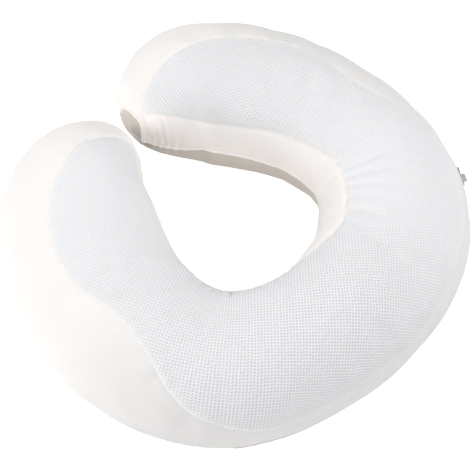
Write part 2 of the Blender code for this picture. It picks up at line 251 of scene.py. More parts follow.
def through(table: tuple, column: str, turns: np.ndarray) -> np.ndarray:
    """Read a column of a table at any turns, on a smooth curve through its rows.

    Args:
        table: Stations in the order of their turns.
        column: The name of the value to read.
        turns: Where to read it.

    Returns:
        The values, one for each turn.
    """
    xs = np.array([row.turn for row in table], float)
    ys = np.array([getattr(row, column) for row in table], float)
    k = np.clip(np.searchsorted(xs, turns, side="right") - 1, 0, len(xs) - 2)
    a, b, c, d = (ys[np.clip(k + step, 0, len(xs) - 1)] for step in (-1, 0, 1, 2))
    return curved(a, b, c, d, (turns - xs[k]) / (xs[k + 1] - xs[k]))


def unit(vectors: np.ndarray) -> np.ndarray:
    """Return vectors brought to length one."""
    return vectors / np.maximum(np.linalg.norm(vectors, axis=-1, keepdims=True), 1e-9)


def bell(x: np.ndarray, width: float) -> np.ndarray:
    """Return a round hump of height one at zero."""
    return np.exp(-((x / width) ** 2))


def soften(grid: np.ndarray, reach: float) -> np.ndarray:
    """Average a grid with its neighbours. Its columns run round and its rows end.

    Args:
        grid: The values.
        reach: How many cells away a neighbour still counts well.

    Returns:
        The softened values.
    """
    wide = int(3 * reach) + 1
    weights = bell(np.arange(-wide, wide + 1), reach * math.sqrt(2))
    weights /= weights.sum()
    rows = np.pad(grid, ((wide, wide), (0, 0)), mode="edge")
    grid = sum(w * rows[k : k + len(grid)] for k, w in enumerate(weights))
    columns = np.pad(grid, ((0, 0), (wide, wide)), mode="wrap")
    across = grid.shape[1]
    return sum(w * columns[:, k : k + across] for k, w in enumerate(weights))


def refine(grid: np.ndarray, axis: int, step: int, count: int) -> np.ndarray:
    """Fill in a grid between every few rows or columns, on smooth curves.

    Args:
        grid: The values at every few places.
        axis: Which way to fill in.
        step: How many places apart the values are.
        count: How many places there are in all.

    Returns:
        The values at every place.
    """
    last = grid.shape[axis] - 1
    place = np.arange(count) / step
    k = np.clip(place.astype(int), 0, last)
    places = [k + move for move in (-1, 0, 1, 2)]
    places = [near % (last + 1) if axis == 1 else np.clip(near, 0, last) for near in places]
    t = (place - k)[None, :] if axis == 1 else (place - k)[:, None]
    return curved(*(np.take(grid, near, axis) for near in places), t)


def clustered(count: int) -> np.ndarray:
    """Return a number of shares from 0 to 1 that stand closer together near both ends."""
    t = np.linspace(0, 1, count)
    return t - CROWDING * np.sin(2 * np.pi * t) / (2 * np.pi)


@dataclass
class RingForm:
    """The filled ring's plain outside, as rows of points along it and columns round it.

    The middle of the ring lies off the origin, because the origin is under the middle of the whole.
    """

    centre: tuple = (-6.27, -4.56)
    outer_crown: float = 2.0
    inner_crown: float = 3.2
    belly_power: float = 2.4
    inner_belly: float = 2.7
    waist: float = 0.45
    inner_waist: float = 0.41
    belly_press: float = 1.1
    end_length: float = 80.0
    end_start: float = 2.6
    end_power: float = 1.9
    eased_length: float = 60.0
    lean_share: float = 0.15
    left_end: MeshEnd = MeshEnd(8.5, 112, 9, 32)
    right_end: MeshEnd = MeshEnd(12.5, 148, 20, 12)
    spine_samples: int = 2881
    section_samples: int = 721
    first_run: float = 0.25
    row_step: float = 1.6
    end_rows: int = 70
    least_bend: float = 0.02
    counts: dict = field(
        default_factory=lambda: {Zone.BAND: 46, Zone.MESH: 82, Zone.WALL: 30, Zone.BASE: 44}
    )

    def __post_init__(self) -> None:
        """Lay out the rows and work out every point."""
        self.fine_turns = np.linspace(STATIONS[0].turn, STATIONS[-1].turn, self.spine_samples)
        self.fine_runs = runs_along(self.spine(self.fine_turns))
        self.length = self.fine_runs[-1]
        self.runs = self.row_runs()
        self.turns = np.interp(self.runs, self.fine_runs, self.fine_turns)
        self.from_tip = np.minimum(self.runs, self.length - self.runs)
        self.measure_sections()
        self.lay_columns()
        self.points = self.surface(self.places)
        self.normals = self.find_normals(self.points)

    def spine(self, turns: np.ndarray) -> np.ndarray:
        """Find the spine's places in plan.

        Args:
            turns: The turns from the back of the neck, in degrees.

        Returns:
            The places, in millimetres and at no height.
        """
        radius = through(STATIONS, "radius", turns)
        angle = np.radians(turns)
        flat = np.zeros_like(turns)
        return np.stack([radius * np.sin(angle), radius * np.cos(angle), flat], -1)

    def row_runs(self) -> np.ndarray:
        """Place the rows along the spine, closer together on the arms' round ends.

        Returns:
            The rows' lengths along the spine, in millimetres.
        """
        angle = np.linspace(0.03, math.pi / 2, self.end_rows)
        tip = np.sort(self.end_length * (1 - np.sin(angle)))
        tip = tip[(tip > 2 * self.first_run) & (tip < self.end_length - 1.0)]
        tip = np.append(self.first_run, tip)
        straight = self.length - 2 * self.end_length
        middle = self.end_length + np.linspace(0, straight, round(straight / self.row_step))
        return np.concatenate([tip, middle, (self.length - tip)[::-1]])

    def measure_sections(self) -> None:
        """Work out each row's frame and sizes."""
        turns = self.turns
        self.middle = self.spine(turns)
        self.along = unit(self.spine(turns + 0.5) - self.spine(turns - 0.5))
        self.outward = np.stack([-self.along[:, 1], self.along[:, 0], np.zeros(len(turns))], -1)
        self.rounded = np.clip(1 - self.from_tip / self.end_length, 0, 1)
        self.eased = eased(np.clip(1 - self.from_tip / self.eased_length, 0, 1))
        self.shrink = (1 - self.rounded**self.end_start) ** (1 / self.end_power)
        self.height = through(STATIONS, "height", turns)
        side = np.where(self.runs > self.length / 2, 1.0, -1.0)
        self.half_width = through(STATIONS, "half_width", turns) * self.shrink
        self.inner_fall = (self.inner_waist - self.waist) * self.shrink
        self.lean = -side * self.lean_share * self.eased
        self.low_seam = through(STATIONS, "low_seam", turns)
        self.foot_seam = self.foot_places()
        self.outer_seam, self.inner_seam = self.mesh_seams(side)

    def inner_belly_powers(self) -> np.ndarray:
        """Return how square the low inner side of each section is, rounder towards the arms' ends."""
        return self.inner_belly + (self.belly_power - self.inner_belly) * self.eased

    def foot_places(self) -> np.ndarray:
        """Find the inner wall's low seam, from how far it lies below the widest place.

        Returns:
            The seam's turns up the sections, in degrees.
        """
        drop = through(SEAMS, "foot", self.turns) / (self.height * self.shrink)
        waist = self.waist + self.inner_fall
        low = np.clip(drop / (waist * self.belly_press), 0, 0.5) ** (self.inner_belly_powers() / 2)
        high = np.clip(-drop / (1 - waist), 0, 0.5) ** (self.inner_crown / 2)
        return 180 + np.degrees(np.arcsin(low) - np.arcsin(high))

    def mesh_seams(self, side: np.ndarray) -> tuple:
        """Find the mesh panel's two seams, drawn together at its round ends.

        Args:
            side: 1 for the rows of the right arm, and -1 for those of the left.

        Returns:
            The outer and the inner seam's turns up the sections, in degrees.
        """
        seams = through(SEAMS, "outer", self.turns), through(SEAMS, "inner", self.turns)
        for sign, end in ((1, self.right_end), (-1, self.left_end)):
            here = side == sign
            past = self.from_tip[here] - end.from_tip
            for seam, reach in zip(seams, (end.outer_reach, end.inner_reach)):
                bend = np.sqrt(1 - (1 - np.clip(past / reach, self.least_bend, 1)) ** 2)
                seam[here] = end.place + (seam[here] - end.place) * bend
        return seams

    def surface(self, places: np.ndarray) -> np.ndarray:
        """Return the points at turns up the sections.

        Args:
            places: A row of turns, in degrees, for each section.

        Returns:
            The points, in millimetres.
        """
        angle = np.radians(places)
        across, up = np.cos(angle), np.sin(angle)
        crown = np.where(across > 0, self.outer_crown, self.inner_crown)
        belly = np.where(across > 0, self.belly_power, self.inner_belly_powers()[:, None])
        power = np.where(up < 0, belly, crown)
        out = self.half_width[:, None] * np.sign(across) * np.abs(across) ** (2 / power)
        rise = np.sign(up) * np.abs(up) ** (2 / power)
        waist = self.waist + self.inner_fall[:, None] * (1 - across) / 2
        tall = np.where(up > 0, 1 - waist, waist * self.belly_press) * self.shrink[:, None]
        points = self.middle[:, None, :] + self.outward[:, None, :] * out[..., None]
        points = points + self.along[:, None, :] * (self.lean[:, None] * out)[..., None]
        points[..., 2] = self.height[:, None] * np.maximum(waist + tall * rise, 0.0)
        points[..., 0] += self.centre[0]
        points[..., 1] += self.centre[1]
        return points

    def lay_columns(self) -> None:
        """Spread each zone's columns evenly over its width on every row."""
        fine = np.linspace(0, 360, self.section_samples)[None, :] + self.low_seam[:, None]
        points = self.surface(fine)
        steps = np.linalg.norm(np.diff(points, axis=1), axis=2)
        arcs = np.concatenate([np.zeros((len(points), 1)), np.cumsum(steps, axis=1)], axis=1)
        borders = (self.low_seam, self.outer_seam, self.inner_seam, self.foot_seam, self.low_seam + 360)
        places, lengths, self.first = [], [], {}
        for index, zone in enumerate(Zone):
            shares = clustered(self.counts[zone] + 1)[:-1]
            self.first[zone] = sum(self.counts[earlier] for earlier in list(Zone)[:index])
            rows = []
            for i in range(len(points)):
                ends = np.interp((borders[index][i], borders[index + 1][i]), fine[i], arcs[i])
                rows.append(ends[0] + (ends[1] - ends[0]) * shares)
            rows = np.array(rows)
            lengths.append(rows)
            places.append(np.array([np.interp(rows[i], arcs[i], fine[i]) for i in range(len(points))]))
        self.places = np.concatenate(places, axis=1)
        self.arcs = np.concatenate(lengths, axis=1)
        self.girth = arcs[:, -1]

    def find_normals(self, points: np.ndarray) -> np.ndarray:
        """Find which way is out at every point of a grid.

        Args:
            points: The grid's points, by row and column.

        Returns:
            The outward directions.
        """
        around = np.roll(points, -1, axis=1) - np.roll(points, 1, axis=1)
        along = np.gradient(points, axis=0)
        return unit(np.cross(around, along))

    def tips(self) -> np.ndarray:
        """Find where the arms end.

        Returns:
            The two points, in millimetres.
        """
        ends = self.middle[[0, -1]] + np.array([*self.centre, 0.0])
        ends[:, 2] = self.height[[0, -1]] * self.waist
        return ends

    def columns(self, zone: Zone) -> np.ndarray:
        """Return a zone's columns, from its first border to the next zone's."""
        start = self.first[zone]
        return np.arange(start, start + self.counts[zone] + 1) % self.points.shape[1]

    def cap_row(self) -> int:
        """Return the row where the base panel's cap on the first arm's end stops; the cap lays painted shade
        on that end face.
        """
        return int(np.nonzero(self.runs < BASE_END)[0][-1])

    def panel_rows(self) -> np.ndarray:
        """Return the rows that the mesh panel covers."""
        ends = np.where(self.runs > self.length / 2, self.right_end.from_tip, self.left_end.from_tip)
        return np.nonzero(self.from_tip >= ends)[0]

    def run_at(self, turn: float) -> float:
        """Return the length along the spine at a turn."""
        return float(np.interp(turn, self.fine_turns, self.fine_runs))

    def arc_at(self, turn: float, place: float) -> float:
        """Measure round the section from the low seam to a place on it.

        Args:
            turn: The section's turn from the back of the neck, in degrees.
            place: The turn up the section, in degrees.

        Returns:
            The length, in millimetres.
        """
        row = int(np.argmin(np.abs(self.turns - turn)))
        places = np.append(self.places[row], self.low_seam[row] + 360)
        return float(np.interp(place, places, np.append(self.arcs[row], self.girth[row])))


@dataclass
class StuffedCloth:
    """The whole cover as loose cloth under the filling's pressure, held along its seams.

    The cover is cut a little long, so it puckers between its seams. The broad swelling is taken out
    again, because the plain form already has it, and only the puckers are kept.
    """

    form: RingForm
    pressure: float = 30.0
    slack: float = 0.014
    frames: int = 20
    stiffness: float = 15.0
    bending: float = 0.5
    point_mass: float = 0.3
    quality: int = 5
    spacing: int = 2
    held_rows: int = 3
    resting_height: float = 3.0
    grain: float = 0.8
    broad: float = 5.5
    seam_reach: int = 4
    most: float = 1.5

    def puckers(self) -> np.ndarray:
        """Simulate the cloth and return how far each point of the form is pushed out.

        Returns:
            Outward moves in millimetres, one for each row and column of the form.
        """
        form = self.form
        shape = form.points.shape[:2]
        rows = np.arange(0, shape[0], self.spacing)
        columns = np.arange(0, shape[1], self.spacing)
        start = form.points[np.ix_(rows, columns)]
        piece = self.loose_cover(start)
        end = self.run(piece)[: start.shape[0] * start.shape[1]].reshape(start.shape)
        bpy.data.objects.remove(piece)
        moved = ((end - start) * form.normals[np.ix_(rows, columns)]).sum(-1)
        away = np.abs(np.arange(len(columns))[:, None] - self.seam_columns()[None, :])
        near = np.minimum(away, self.seam_reach).min(axis=1)
        moved = soften(moved, self.grain)
        moved -= soften(moved, self.broad) * (near / self.seam_reach)[None, :]
        fine = refine(refine(moved, 0, self.spacing, shape[0]), 1, self.spacing, shape[1])
        return self.most * np.tanh(fine / self.most)

    def seam_columns(self) -> np.ndarray:
        """Return the loose cover's columns that lie on seams."""
        return np.array([self.form.first[zone] // self.spacing for zone in Zone])

    def loose_cover(self, grid: np.ndarray) -> bpy.types.Object:
        """Make the cover as one closed cloth, with the group of points that are held.

        Args:
            grid: The cover's points, in millimetres.

        Returns:
            The object to simulate.
        """
        form = self.form
        count, across = grid.shape[:2]
        points = np.concatenate([grid.reshape(-1, 3), form.tips()])
        faces = grid_faces(count, across, closed=True) + tip_faces(count, across)
        piece = cloth_object("loose_cover", points, faces)
        held = np.zeros((count, across), bool)
        held[:, self.seam_columns()] = True
        held[: self.held_rows] = held[-self.held_rows :] = True
        held |= grid[..., 2] < self.resting_height
        group = piece.vertex_groups.new(name="held")
        group.add([int(k) for k in np.nonzero(held.reshape(-1))[0]], 1.0, "REPLACE")
        group.add([count * across, count * across + 1], 1.0, "REPLACE")
        return piece

    def run(self, piece: bpy.types.Object) -> np.ndarray:
        """Blow the loose cover up.

        Args:
            piece: The cover, with its held points in a group.

        Returns:
            Where its points end, in millimetres.
        """
        cloth = piece.modifiers.new("stuffing", "CLOTH")
        settings = cloth.settings
        settings.quality = self.quality
        settings.mass = self.point_mass
        settings.tension_stiffness = settings.compression_stiffness = self.stiffness
        settings.shear_stiffness = self.stiffness / 3
        settings.bending_stiffness = self.bending
        settings.use_pressure = True
        settings.uniform_pressure_force = self.pressure
        settings.vertex_group_mass = "held"
        settings.shrink_min = -self.slack
        settings.effector_weights.gravity = 0.0
        cloth.collision_settings.use_collision = False
        cloth.point_cache.frame_start, cloth.point_cache.frame_end = 1, self.frames
        for frame in range(1, self.frames + 1):
            bpy.context.scene.frame_set(frame)
        select_only(piece)
        bpy.ops.object.modifier_apply(modifier=cloth.name)
        bpy.context.scene.frame_set(1)
        places = np.empty(len(piece.data.vertices) * 3)
        piece.data.vertices.foreach_get("co", places)
        return places.reshape(-1, 3) / MM


@dataclass
class Relief:
    """How far the cloth stands out of or sinks into the plain form, in millimetres."""

    form: RingForm
    path_step: float = 0.35
    seam_dip: float = 1.0
    seam_dip_reach: float = 6.0
    seam_cut: float = 0.5
    seam_cut_reach: float = 0.8
    seam_roll: float = 0.3
    roll_middle: float = 3.4
    roll_width: float = 1.6
    gather: float = 0.34
    gather_reach: float = 7.0
    stitch_reach: float = 1.5
    puff: float = 0.8
    puff_length: float = 13.0
    puff_middle: float = 2.8
    puff_width: float = 1.8
    low_seam_cut: float = 0.7
    low_seam_dip: float = 0.5
    low_gather: float = 0.16
    low_reach: float = 5.0
    piping: float = 1.8
    swell: float = 0.16
    zip_depth: float = 1.8
    zip_easing: float = 0.7
    zip_top: float = 8.8
    zip_lip: float = 0.6
    end_depth: float = 1.5
    end_fade: float = 3.0
    rim_places: tuple = (60, 109, 141, 172, 210, 240)
    rim_reaches: tuple = (14.5, 16.5, 14.5, 13.4, 13.2, 13.0)
    taut: float = 0.65
    band_taut: float = 0.8
    pressed_height: float = 6.0

    def __post_init__(self) -> None:
        """Add up every cause of relief."""
        self.lift = StuffedCloth(self.form).puckers() * self.looseness()
        self.small = np.clip(self.form.shrink * 2, 0, 1)[:, None]
        self.add_mesh_seam()
        self.add_low_seams()
        self.add_arm_end()
        self.add_zip_channel()
        for crease in CREASES:
            self.add_crease(crease)
        self.add_swell()
        self.lift *= ramp(self.form.points[..., 2], 0.0, self.pressed_height)
        self.dressed = self.form.points + self.form.normals * self.lift[..., None]
        self.normals = self.form.find_normals(self.dressed)

    def looseness(self) -> np.ndarray:
        """Find where the cloth is taut: on the arms' inner halves and low round the neck's back.

        Returns:
            For each point 1 where the cloth gathers in full, and less where it is taut.
        """
        form = self.form
        arms = 1 - window(form.turns, -110, 15, 15)[:, None]
        inner = ramp(form.places, 110, 25)
        back = window(form.turns, -80, 80, 20)[:, None]
        low = 1 - ramp(form.places, 12, 10)
        return 1 - np.maximum(self.taut * arms * inner, self.band_taut * back * low)

    def along_path(self, path: np.ndarray) -> tuple:
        """Measure how far every point of the form is from a path, and how far along it.

        Args:
            path: The path's points.

        Returns:
            The distances and the lengths along the path, for each row and column, in millimetres.
        """
        runs = runs_along(path)
        even = np.arange(0.0, runs[-1], self.path_step)
        fine = np.stack([np.interp(even, runs, path[:, axis]) for axis in range(3)], -1)
        tree = KDTree(len(fine))
        for index, point in enumerate(fine):
            tree.insert(point, index)
        tree.balance()
        found = [tree.find(point)[1:] for point in self.form.points.reshape(-1, 3)]
        index, distance = (np.array(values) for values in zip(*found))
        shape = self.form.points.shape[:2]
        return distance.reshape(shape), even[index.astype(int)].reshape(shape)

    def add_mesh_seam(self) -> None:
        """Draw the seam of the mesh panel in, with the small gathers that its stitches make."""
        form = self.form
        rows = form.panel_rows()
        outer = form.points[rows, form.first[Zone.MESH]]
        inner = form.points[rows, form.first[Zone.WALL]]
        away, along = self.along_path(np.concatenate([outer, inner[::-1], outer[:1]]))
        self.from_mesh_seam = away
        dip = self.seam_dip * bell(away, self.seam_dip_reach)
        dip += self.seam_cut * np.exp(-away / self.seam_cut_reach)
        self.lift += (self.seam_roll * bell(away - self.roll_middle, self.roll_width) - dip) * self.small
        waves = self.uneven_waves(along, (9.0, 12.0, 15.5), 5)
        pull = self.stitch_pull(away, self.gather_reach)
        self.lift += self.gather * waves * pull * self.small * self.looseness()
        self.add_puffs(away, along)

    def stitch_pull(self, away: np.ndarray, reach: float) -> np.ndarray:
        """Return how strongly stitches gather the cloth, the most a little beside their seam."""
        return np.exp(-away / reach) * (1 - np.exp(-away / self.stitch_reach))

    def add_puffs(self, away: np.ndarray, along: np.ndarray) -> None:
        """Puff the side band up between the stitches where it turns under the neck's outside.

        Args:
            away: How far each point is from the mesh panel's seam.
            along: Where each point is along that seam.
        """
        form = self.form
        band = np.zeros(form.points.shape[1], bool)
        band[form.columns(Zone.BAND)[:-1]] = True
        here = window(form.turns, -48, 66, 12)
        waves = 0.5 + 0.5 * np.sin(2 * np.pi * along / self.puff_length + 1.2 * np.sin(along / 31.0))
        puffs = self.puff * waves**2 * bell(away - self.puff_middle, self.puff_width)
        self.lift += puffs * here[:, None] * band[None, :]

    @staticmethod
    def uneven_waves(along: np.ndarray, lengths: tuple, seed: int) -> np.ndarray:
        """Make waves whose size and spacing drift along a seam.

        Args:
            along: Where each point is along the seam.
            lengths: The waves' lengths, in millimetres.
            seed: The number that the drift is drawn from.

        Returns:
            The waves' height at each point.
        """
        draw = np.random.default_rng(seed)
        waves = np.zeros_like(along)
        for length in lengths:
            drift = sum(
                draw.uniform(0.6, 1.4) * np.sin(along / draw.uniform(14, 40) + draw.uniform(0, 6.28))
                for _ in range(3)
            )
            size = 0.6 + 0.4 * np.sin(along / draw.uniform(25, 60) + draw.uniform(0, 6.28))
            waves += size * np.sin(2 * np.pi * along / length + drift)
        return waves

    def add_low_seams(self) -> None:
        """Draw the base panel's seam in and raise the double piping above it."""
        form = self.form
        seam = np.concatenate([form.points[:, form.first[Zone.BASE]], form.points[::-1, 0]])
        away, along = self.along_path(seam)
        shares = np.zeros(form.points.shape[1])
        for zone, share in ((Zone.BASE, 0.1), (Zone.BAND, 0.2), (Zone.WALL, 1.0)):
            shares[form.columns(zone)] = share
        self.lift -= self.low_seam_cut * np.exp(-away) + self.low_seam_dip * bell(away, self.low_reach)
        ridges = bell(away - 1.6, 0.75) + 0.5 * bell(away - 5.2, 0.9)
        self.lift += self.piping * ridges * shares[None, :]
        waves = self.uneven_waves(along, (8.0, 11.0), 8)
        self.lift += self.low_gather * waves * self.stitch_pull(away, self.low_reach)

    def add_arm_end(self) -> None:
        """Draw one arm's end face in behind the rolled seam that closes the side band round it."""
        form = self.form
        first = (form.runs < form.end_length)[:, None]
        past = form.half_width[:, None] - np.interp(form.places, self.rim_places, self.rim_reaches)
        sunk = self.end_depth * eased(ramp(-past, 0.0, self.end_fade))
        wall = window(form.places, 95, 236, 14)
        self.lift += first * (wall * (bell(past, 1.3) - bell(past - 2.9, 0.8)) - sunk)

    def add_zip_channel(self) -> None:
        """Sink the channel that the zip lies in, under a soft lip of cloth."""
        form = self.form
        ends = window(form.turns, ZIP_START - 3, ZIP_STOP + 3, 3)[:, None]
        depth = self.zip_depth * (1 - self.zip_easing * ramp(form.turns, -44, 14))[:, None]
        lip = self.zip_lip * bell(form.arcs - self.zip_top - 1.4, 1.5)
        self.lift += ends * (lip - depth * window(form.arcs, 0.3, self.zip_top, 1.0))

    def add_crease(self, crease: Crease) -> None:
        """Press one short fold in, with a soft lip on both sides of it.

        Args:
            crease: The fold.
        """
        form = self.form
        across = form.arcs - form.arc_at(crease.turn, crease.place)
        along = form.runs[:, None] - form.run_at(crease.turn) - crease.slant * across
        fade = np.exp(-((across / (crease.length / 2)) ** 4))
        steep = (along / crease.width) ** 2
        self.lift -= crease.depth * (1 - steep) * np.exp(-0.5 * steep) * fade

    def add_swell(self) -> None:
        """Add the slow unevenness of foam under tight cloth."""
        draw = np.random.default_rng(11)
        for wavelength, height in ((90.0, 1.0), (45.0, 0.55), (22.0, 0.25)):
            for _ in range(5):
                way = unit(draw.normal(size=3)) * 2 * np.pi / wavelength
                wave = np.sin(self.form.points @ way + draw.uniform(0, 6.28))
                self.lift += self.swell * height * wave

    def at(self, row: int, arc: float) -> tuple:
        """Read the dressed surface at a length round a row.

        Args:
            row: The row's number.
            arc: The length from the low seam, in millimetres.

        Returns:
            The point and its outward direction.
        """
        arcs = np.append(self.form.arcs[row], self.form.girth[row])
        column = np.interp(arc, arcs, np.arange(len(arcs)))
        low, share = int(column), column - int(column)
        high = (low + 1) % self.form.points.shape[1]
        point = self.dressed[row, low] * (1 - share) + self.dressed[row, high] * share
        return point, unit(self.normals[row, low] * (1 - share) + self.normals[row, high] * share)


def cloth_object(name: str, points: np.ndarray, faces: list) -> bpy.types.Object:
    """Make a mesh object from points in millimetres.

    Args:
        name: The piece's name.
        points: The points, one a row.
        faces: Tuples of point numbers, counter-clockwise from outside.

    Returns:
        The new object, at the origin and smooth.
    """
    mesh = bpy.data.meshes.new(name)
    mesh.from_pydata((points * MM).tolist(), [], faces)
    mesh.validate()
    mesh.shade_smooth()
    piece = bpy.data.objects.new(name, mesh)
    bpy.context.collection.objects.link(piece)
    return piece


def grid_faces(rows: int, columns: int, closed: bool) -> list:
    """Make the squares of a grid of points.

    Args:
        rows: How many rows it has.
        columns: How many points are in a row.
        closed: Whether the last column joins the first.

    Returns:
        The faces, which point the same way as the form's normals.
    """
    faces = []
    for i in range(rows - 1):
        for j in range(columns if closed else columns - 1):
            a = i * columns + j
            b = i * columns + (j + 1) % columns
            faces.append((a, b, b + columns, a + columns))
    return faces


def tip_faces(rows: int, columns: int) -> list:
    """Close both ends of a tube on the two points after its grid.

    Args:
        rows: How many rows the grid has.
        columns: How many points are in a row.

    Returns:
        Triangles, one for the first end and one for the last by turns.
    """
    faces = []
    last = (rows - 1) * columns
    for j in range(columns):
        k = (j + 1) % columns
        faces.append((k, j, rows * columns))
        faces.append((last + j, last + k, rows * columns + 1))
    return faces


def select_only(*pieces: bpy.types.Object) -> None:
    """Deselect every object but these.

    Args:
        *pieces: The objects to select, of which the first becomes active, or none.
    """
    for other in bpy.context.view_layer.objects:
        other.select_set(False)
    for piece in pieces:
        piece.select_set(True)
    if pieces:
        bpy.context.view_layer.objects.active = pieces[0]


def apply_modifiers(piece: bpy.types.Object) -> None:
    """Apply all of a piece's modifiers, in their order.

    Args:
        piece: The object that has them.
    """
    select_only(piece)
    for modifier in list(piece.modifiers):
        bpy.ops.object.modifier_apply(modifier=modifier.name)


def thicken(piece: bpy.types.Object, thickness: float, clamp: float = 0.0) -> None:
    """Give a sheet its thickness on its inner side.

    Args:
        piece: The sheet.
        thickness: How thick it gets, in millimetres.
        clamp: How much thinner it stays where its points crowd.
    """
    wall = piece.modifiers.new("thickness", "SOLIDIFY")
    wall.thickness = thickness * MM
    wall.thickness_clamp = clamp
    wall.offset = -1
    apply_modifiers(piece)


def store(piece: bpy.types.Object, name: str, values: np.ndarray, kind: str = "FLOAT") -> None:
    """Store a number or a vector for each point of a piece, under a name that its finish reads."""
    layer = piece.data.attributes.new(name, kind, "POINT")
    layer.data.foreach_set("value" if kind == "FLOAT" else "vector", np.ravel(values))


def fill(socket: bpy.types.NodeSocket, value: object) -> None:
    """Set a node's input.

    Args:
        socket: The input.
        value: A plain value to set, or another node's output to join to it.
    """
    if isinstance(value, bpy.types.NodeSocket):
        socket.id_data.links.new(value, socket)
    else:
        socket.default_value = value


def add_node(tree: bpy.types.NodeTree, kind: str, slots: dict, **values: object) -> bpy.types.Node:
    """Add a node to a tree.

    Args:
        tree: Where it goes.
        kind: The node's type.
        slots: What its inputs get, by their numbers.
        **values: Its properties, or what its inputs get by their names, with spaces as underscores.

    Returns:
        The new node.
    """
    node = tree.nodes.new(kind)
    for key, value in values.items():
        label = key.replace("_", " ")
        if label in node.inputs:
            fill(node.inputs[label], value)
        else:
            setattr(node, key, value)
    for number, value in slots.items():
        fill(node.inputs[number], value)
    return node


def paint(colour: tuple, share: float = 1.0) -> tuple:
    """Return a colour with its alpha, darkened to a share."""
    return (*[share * part for part in colour], 1)


@dataclass(frozen=True)
class ShaderLine:
    """A material's node tree, with short calls for what the finishes add to it."""

    material: bpy.types.Material

    @classmethod
    def start(cls, name: str) -> "ShaderLine":
        """Start a new material.

        Args:
            name: The material's name.

        Returns:
            The means to build its nodes.
        """
        material = bpy.data.materials.new(name)
        material.use_nodes = True
        return cls(material)

    @property
    def shader(self) -> bpy.types.Node:
        """The material's Principled node."""
        return self.material.node_tree.nodes["Principled BSDF"]

    def add(self, kind: str, slots: dict | None = None, **values: object) -> bpy.types.Node:
        """Add a node to the material, in the way of add_node."""
        return add_node(self.material.node_tree, kind, slots or {}, **values)

    def stored(self, name: str) -> bpy.types.Node:
        """Add a node that reads what is stored under a name for each point."""
        return self.add("ShaderNodeAttribute", attribute_name=name)

    def mix(self, share: object, first: object, second: object) -> bpy.types.NodeSocket:
        """Mix two colours by a share, all of them plain or outputs, and return the output."""
        return self.add("ShaderNodeMix", {0: share, 6: first, 7: second}, data_type="RGBA").outputs[2]

    def bump(self, height: bpy.types.NodeSocket, strength: float, depth: float) -> bpy.types.NodeSocket:
        """Add a bump of some depth in metres from a height, and return its normals."""
        node = self.add("ShaderNodeBump", Strength=strength, Distance=depth, Height=height)
        return node.outputs["Normal"]

    def settle(self, **values: object) -> None:
        """Set the Principled node's own inputs, to plain values or to outputs."""
        for key, value in values.items():
            fill(self.shader.inputs[key.replace("_", " ")], value)


class ClothEffects:
    """The shader groups that more than one cloth uses."""

    @staticmethod
    def nap() -> bpy.types.NodeTree:
        """Make the group for the short uneven pile of smooth cloth, or find it again.

        Returns:
            A group with the inputs Colour, Shade and Size, and the outputs Colour and Height.
        """
        found = bpy.data.node_groups.get("short_pile")
        if found:
            return found
        group = bpy.data.node_groups.new("short_pile", "ShaderNodeTree")
        for name, kind, value in (
            ("Colour", "NodeSocketColor", (0.9, 0.87, 0.84, 1)),
            ("Shade", "NodeSocketFloat", 0.08),
            ("Size", "NodeSocketFloat", 0.6),
        ):
            socket = group.interface.new_socket(name, in_out="INPUT", socket_type=kind)
            socket.default_value = value
        group.interface.new_socket("Colour", in_out="OUTPUT", socket_type="NodeSocketColor")
        group.interface.new_socket("Height", in_out="OUTPUT", socket_type="NodeSocketFloat")

        def worked_out(operation: str, first: object, second: object) -> bpy.types.NodeSocket:
            """Add a node that works something out from two values, and return its output."""
            return add_node(group, "ShaderNodeMath", {0: first, 1: second}, operation=operation).outputs[0]

        entry = add_node(group, "NodeGroupInput", {}).outputs
        place = add_node(group, "ShaderNodeTexCoord", {}).outputs["Object"]
        scale = worked_out("DIVIDE", 1000.0, entry["Size"])
        pile = {"Vector": place, "Scale": scale, "Detail": 3.0, "Roughness": 0.6}
        fine = add_node(group, "ShaderNodeTexNoise", {}, **pile).outputs["Fac"]
        patch = {"Vector": place, "Scale": 26.0, "Detail": 2.0}
        broad = add_node(group, "ShaderNodeTexNoise", {}, **patch).outputs["Fac"]
        darker = worked_out("MULTIPLY", fine, entry["Shade"])
        patchy = worked_out("MULTIPLY", broad, 0.03)
        kept = worked_out("SUBTRACT", 1.0, worked_out("ADD", darker, patchy))
        grey = add_node(group, "ShaderNodeCombineColor", {}, Red=kept, Green=kept, Blue=kept).outputs[0]
        both = {0: 1.0, 6: entry["Colour"], 7: grey}
        mix = add_node(group, "ShaderNodeMix", both, data_type="RGBA", blend_type="MULTIPLY")
        add_node(group, "NodeGroupOutput", {}, Colour=mix.outputs[2], Height=fine)
        return group


@dataclass(frozen=True)
class SmoothCloth:
    """The cream cloth of the sides and base: short, soft and matt."""

    name: str = "cream_smooth_cloth"
    colour: tuple = (0.92, 0.885, 0.865)
    grey_and_shade_tone: tuple = ()
    shade: float = 0.05
    pile: float = 0.55
    sheen: float = 0.15

    def material(self) -> bpy.types.Material:
        """Make the finish.

        Returns:
            The material, which reads the piece's share of a second tone where it has one, darker as painted
            shade.
        """
        line = ShaderLine.start(self.name)
        tone = paint(self.colour)
        # A second tone, where given, is mixed in by a stored share; it is darker as painted shade.
        if self.grey_and_shade_tone:
            tone = line.mix(line.stored("grey_and_shade_share").outputs["Fac"], tone, paint(self.grey_and_shade_tone))
        nap = {"Colour": tone, "Shade": self.shade, "Size": self.pile}
        group = line.add("ShaderNodeGroup", node_tree=ClothEffects.nap(), **nap)
        bump = line.bump(group.outputs["Height"], 0.25, 0.0003)
        line.settle(Base_Color=group.outputs["Colour"], Normal=bump)
        line.settle(Roughness=0.9, Sheen_Weight=self.sheen, Sheen_Roughness=0.5)
        return line.material


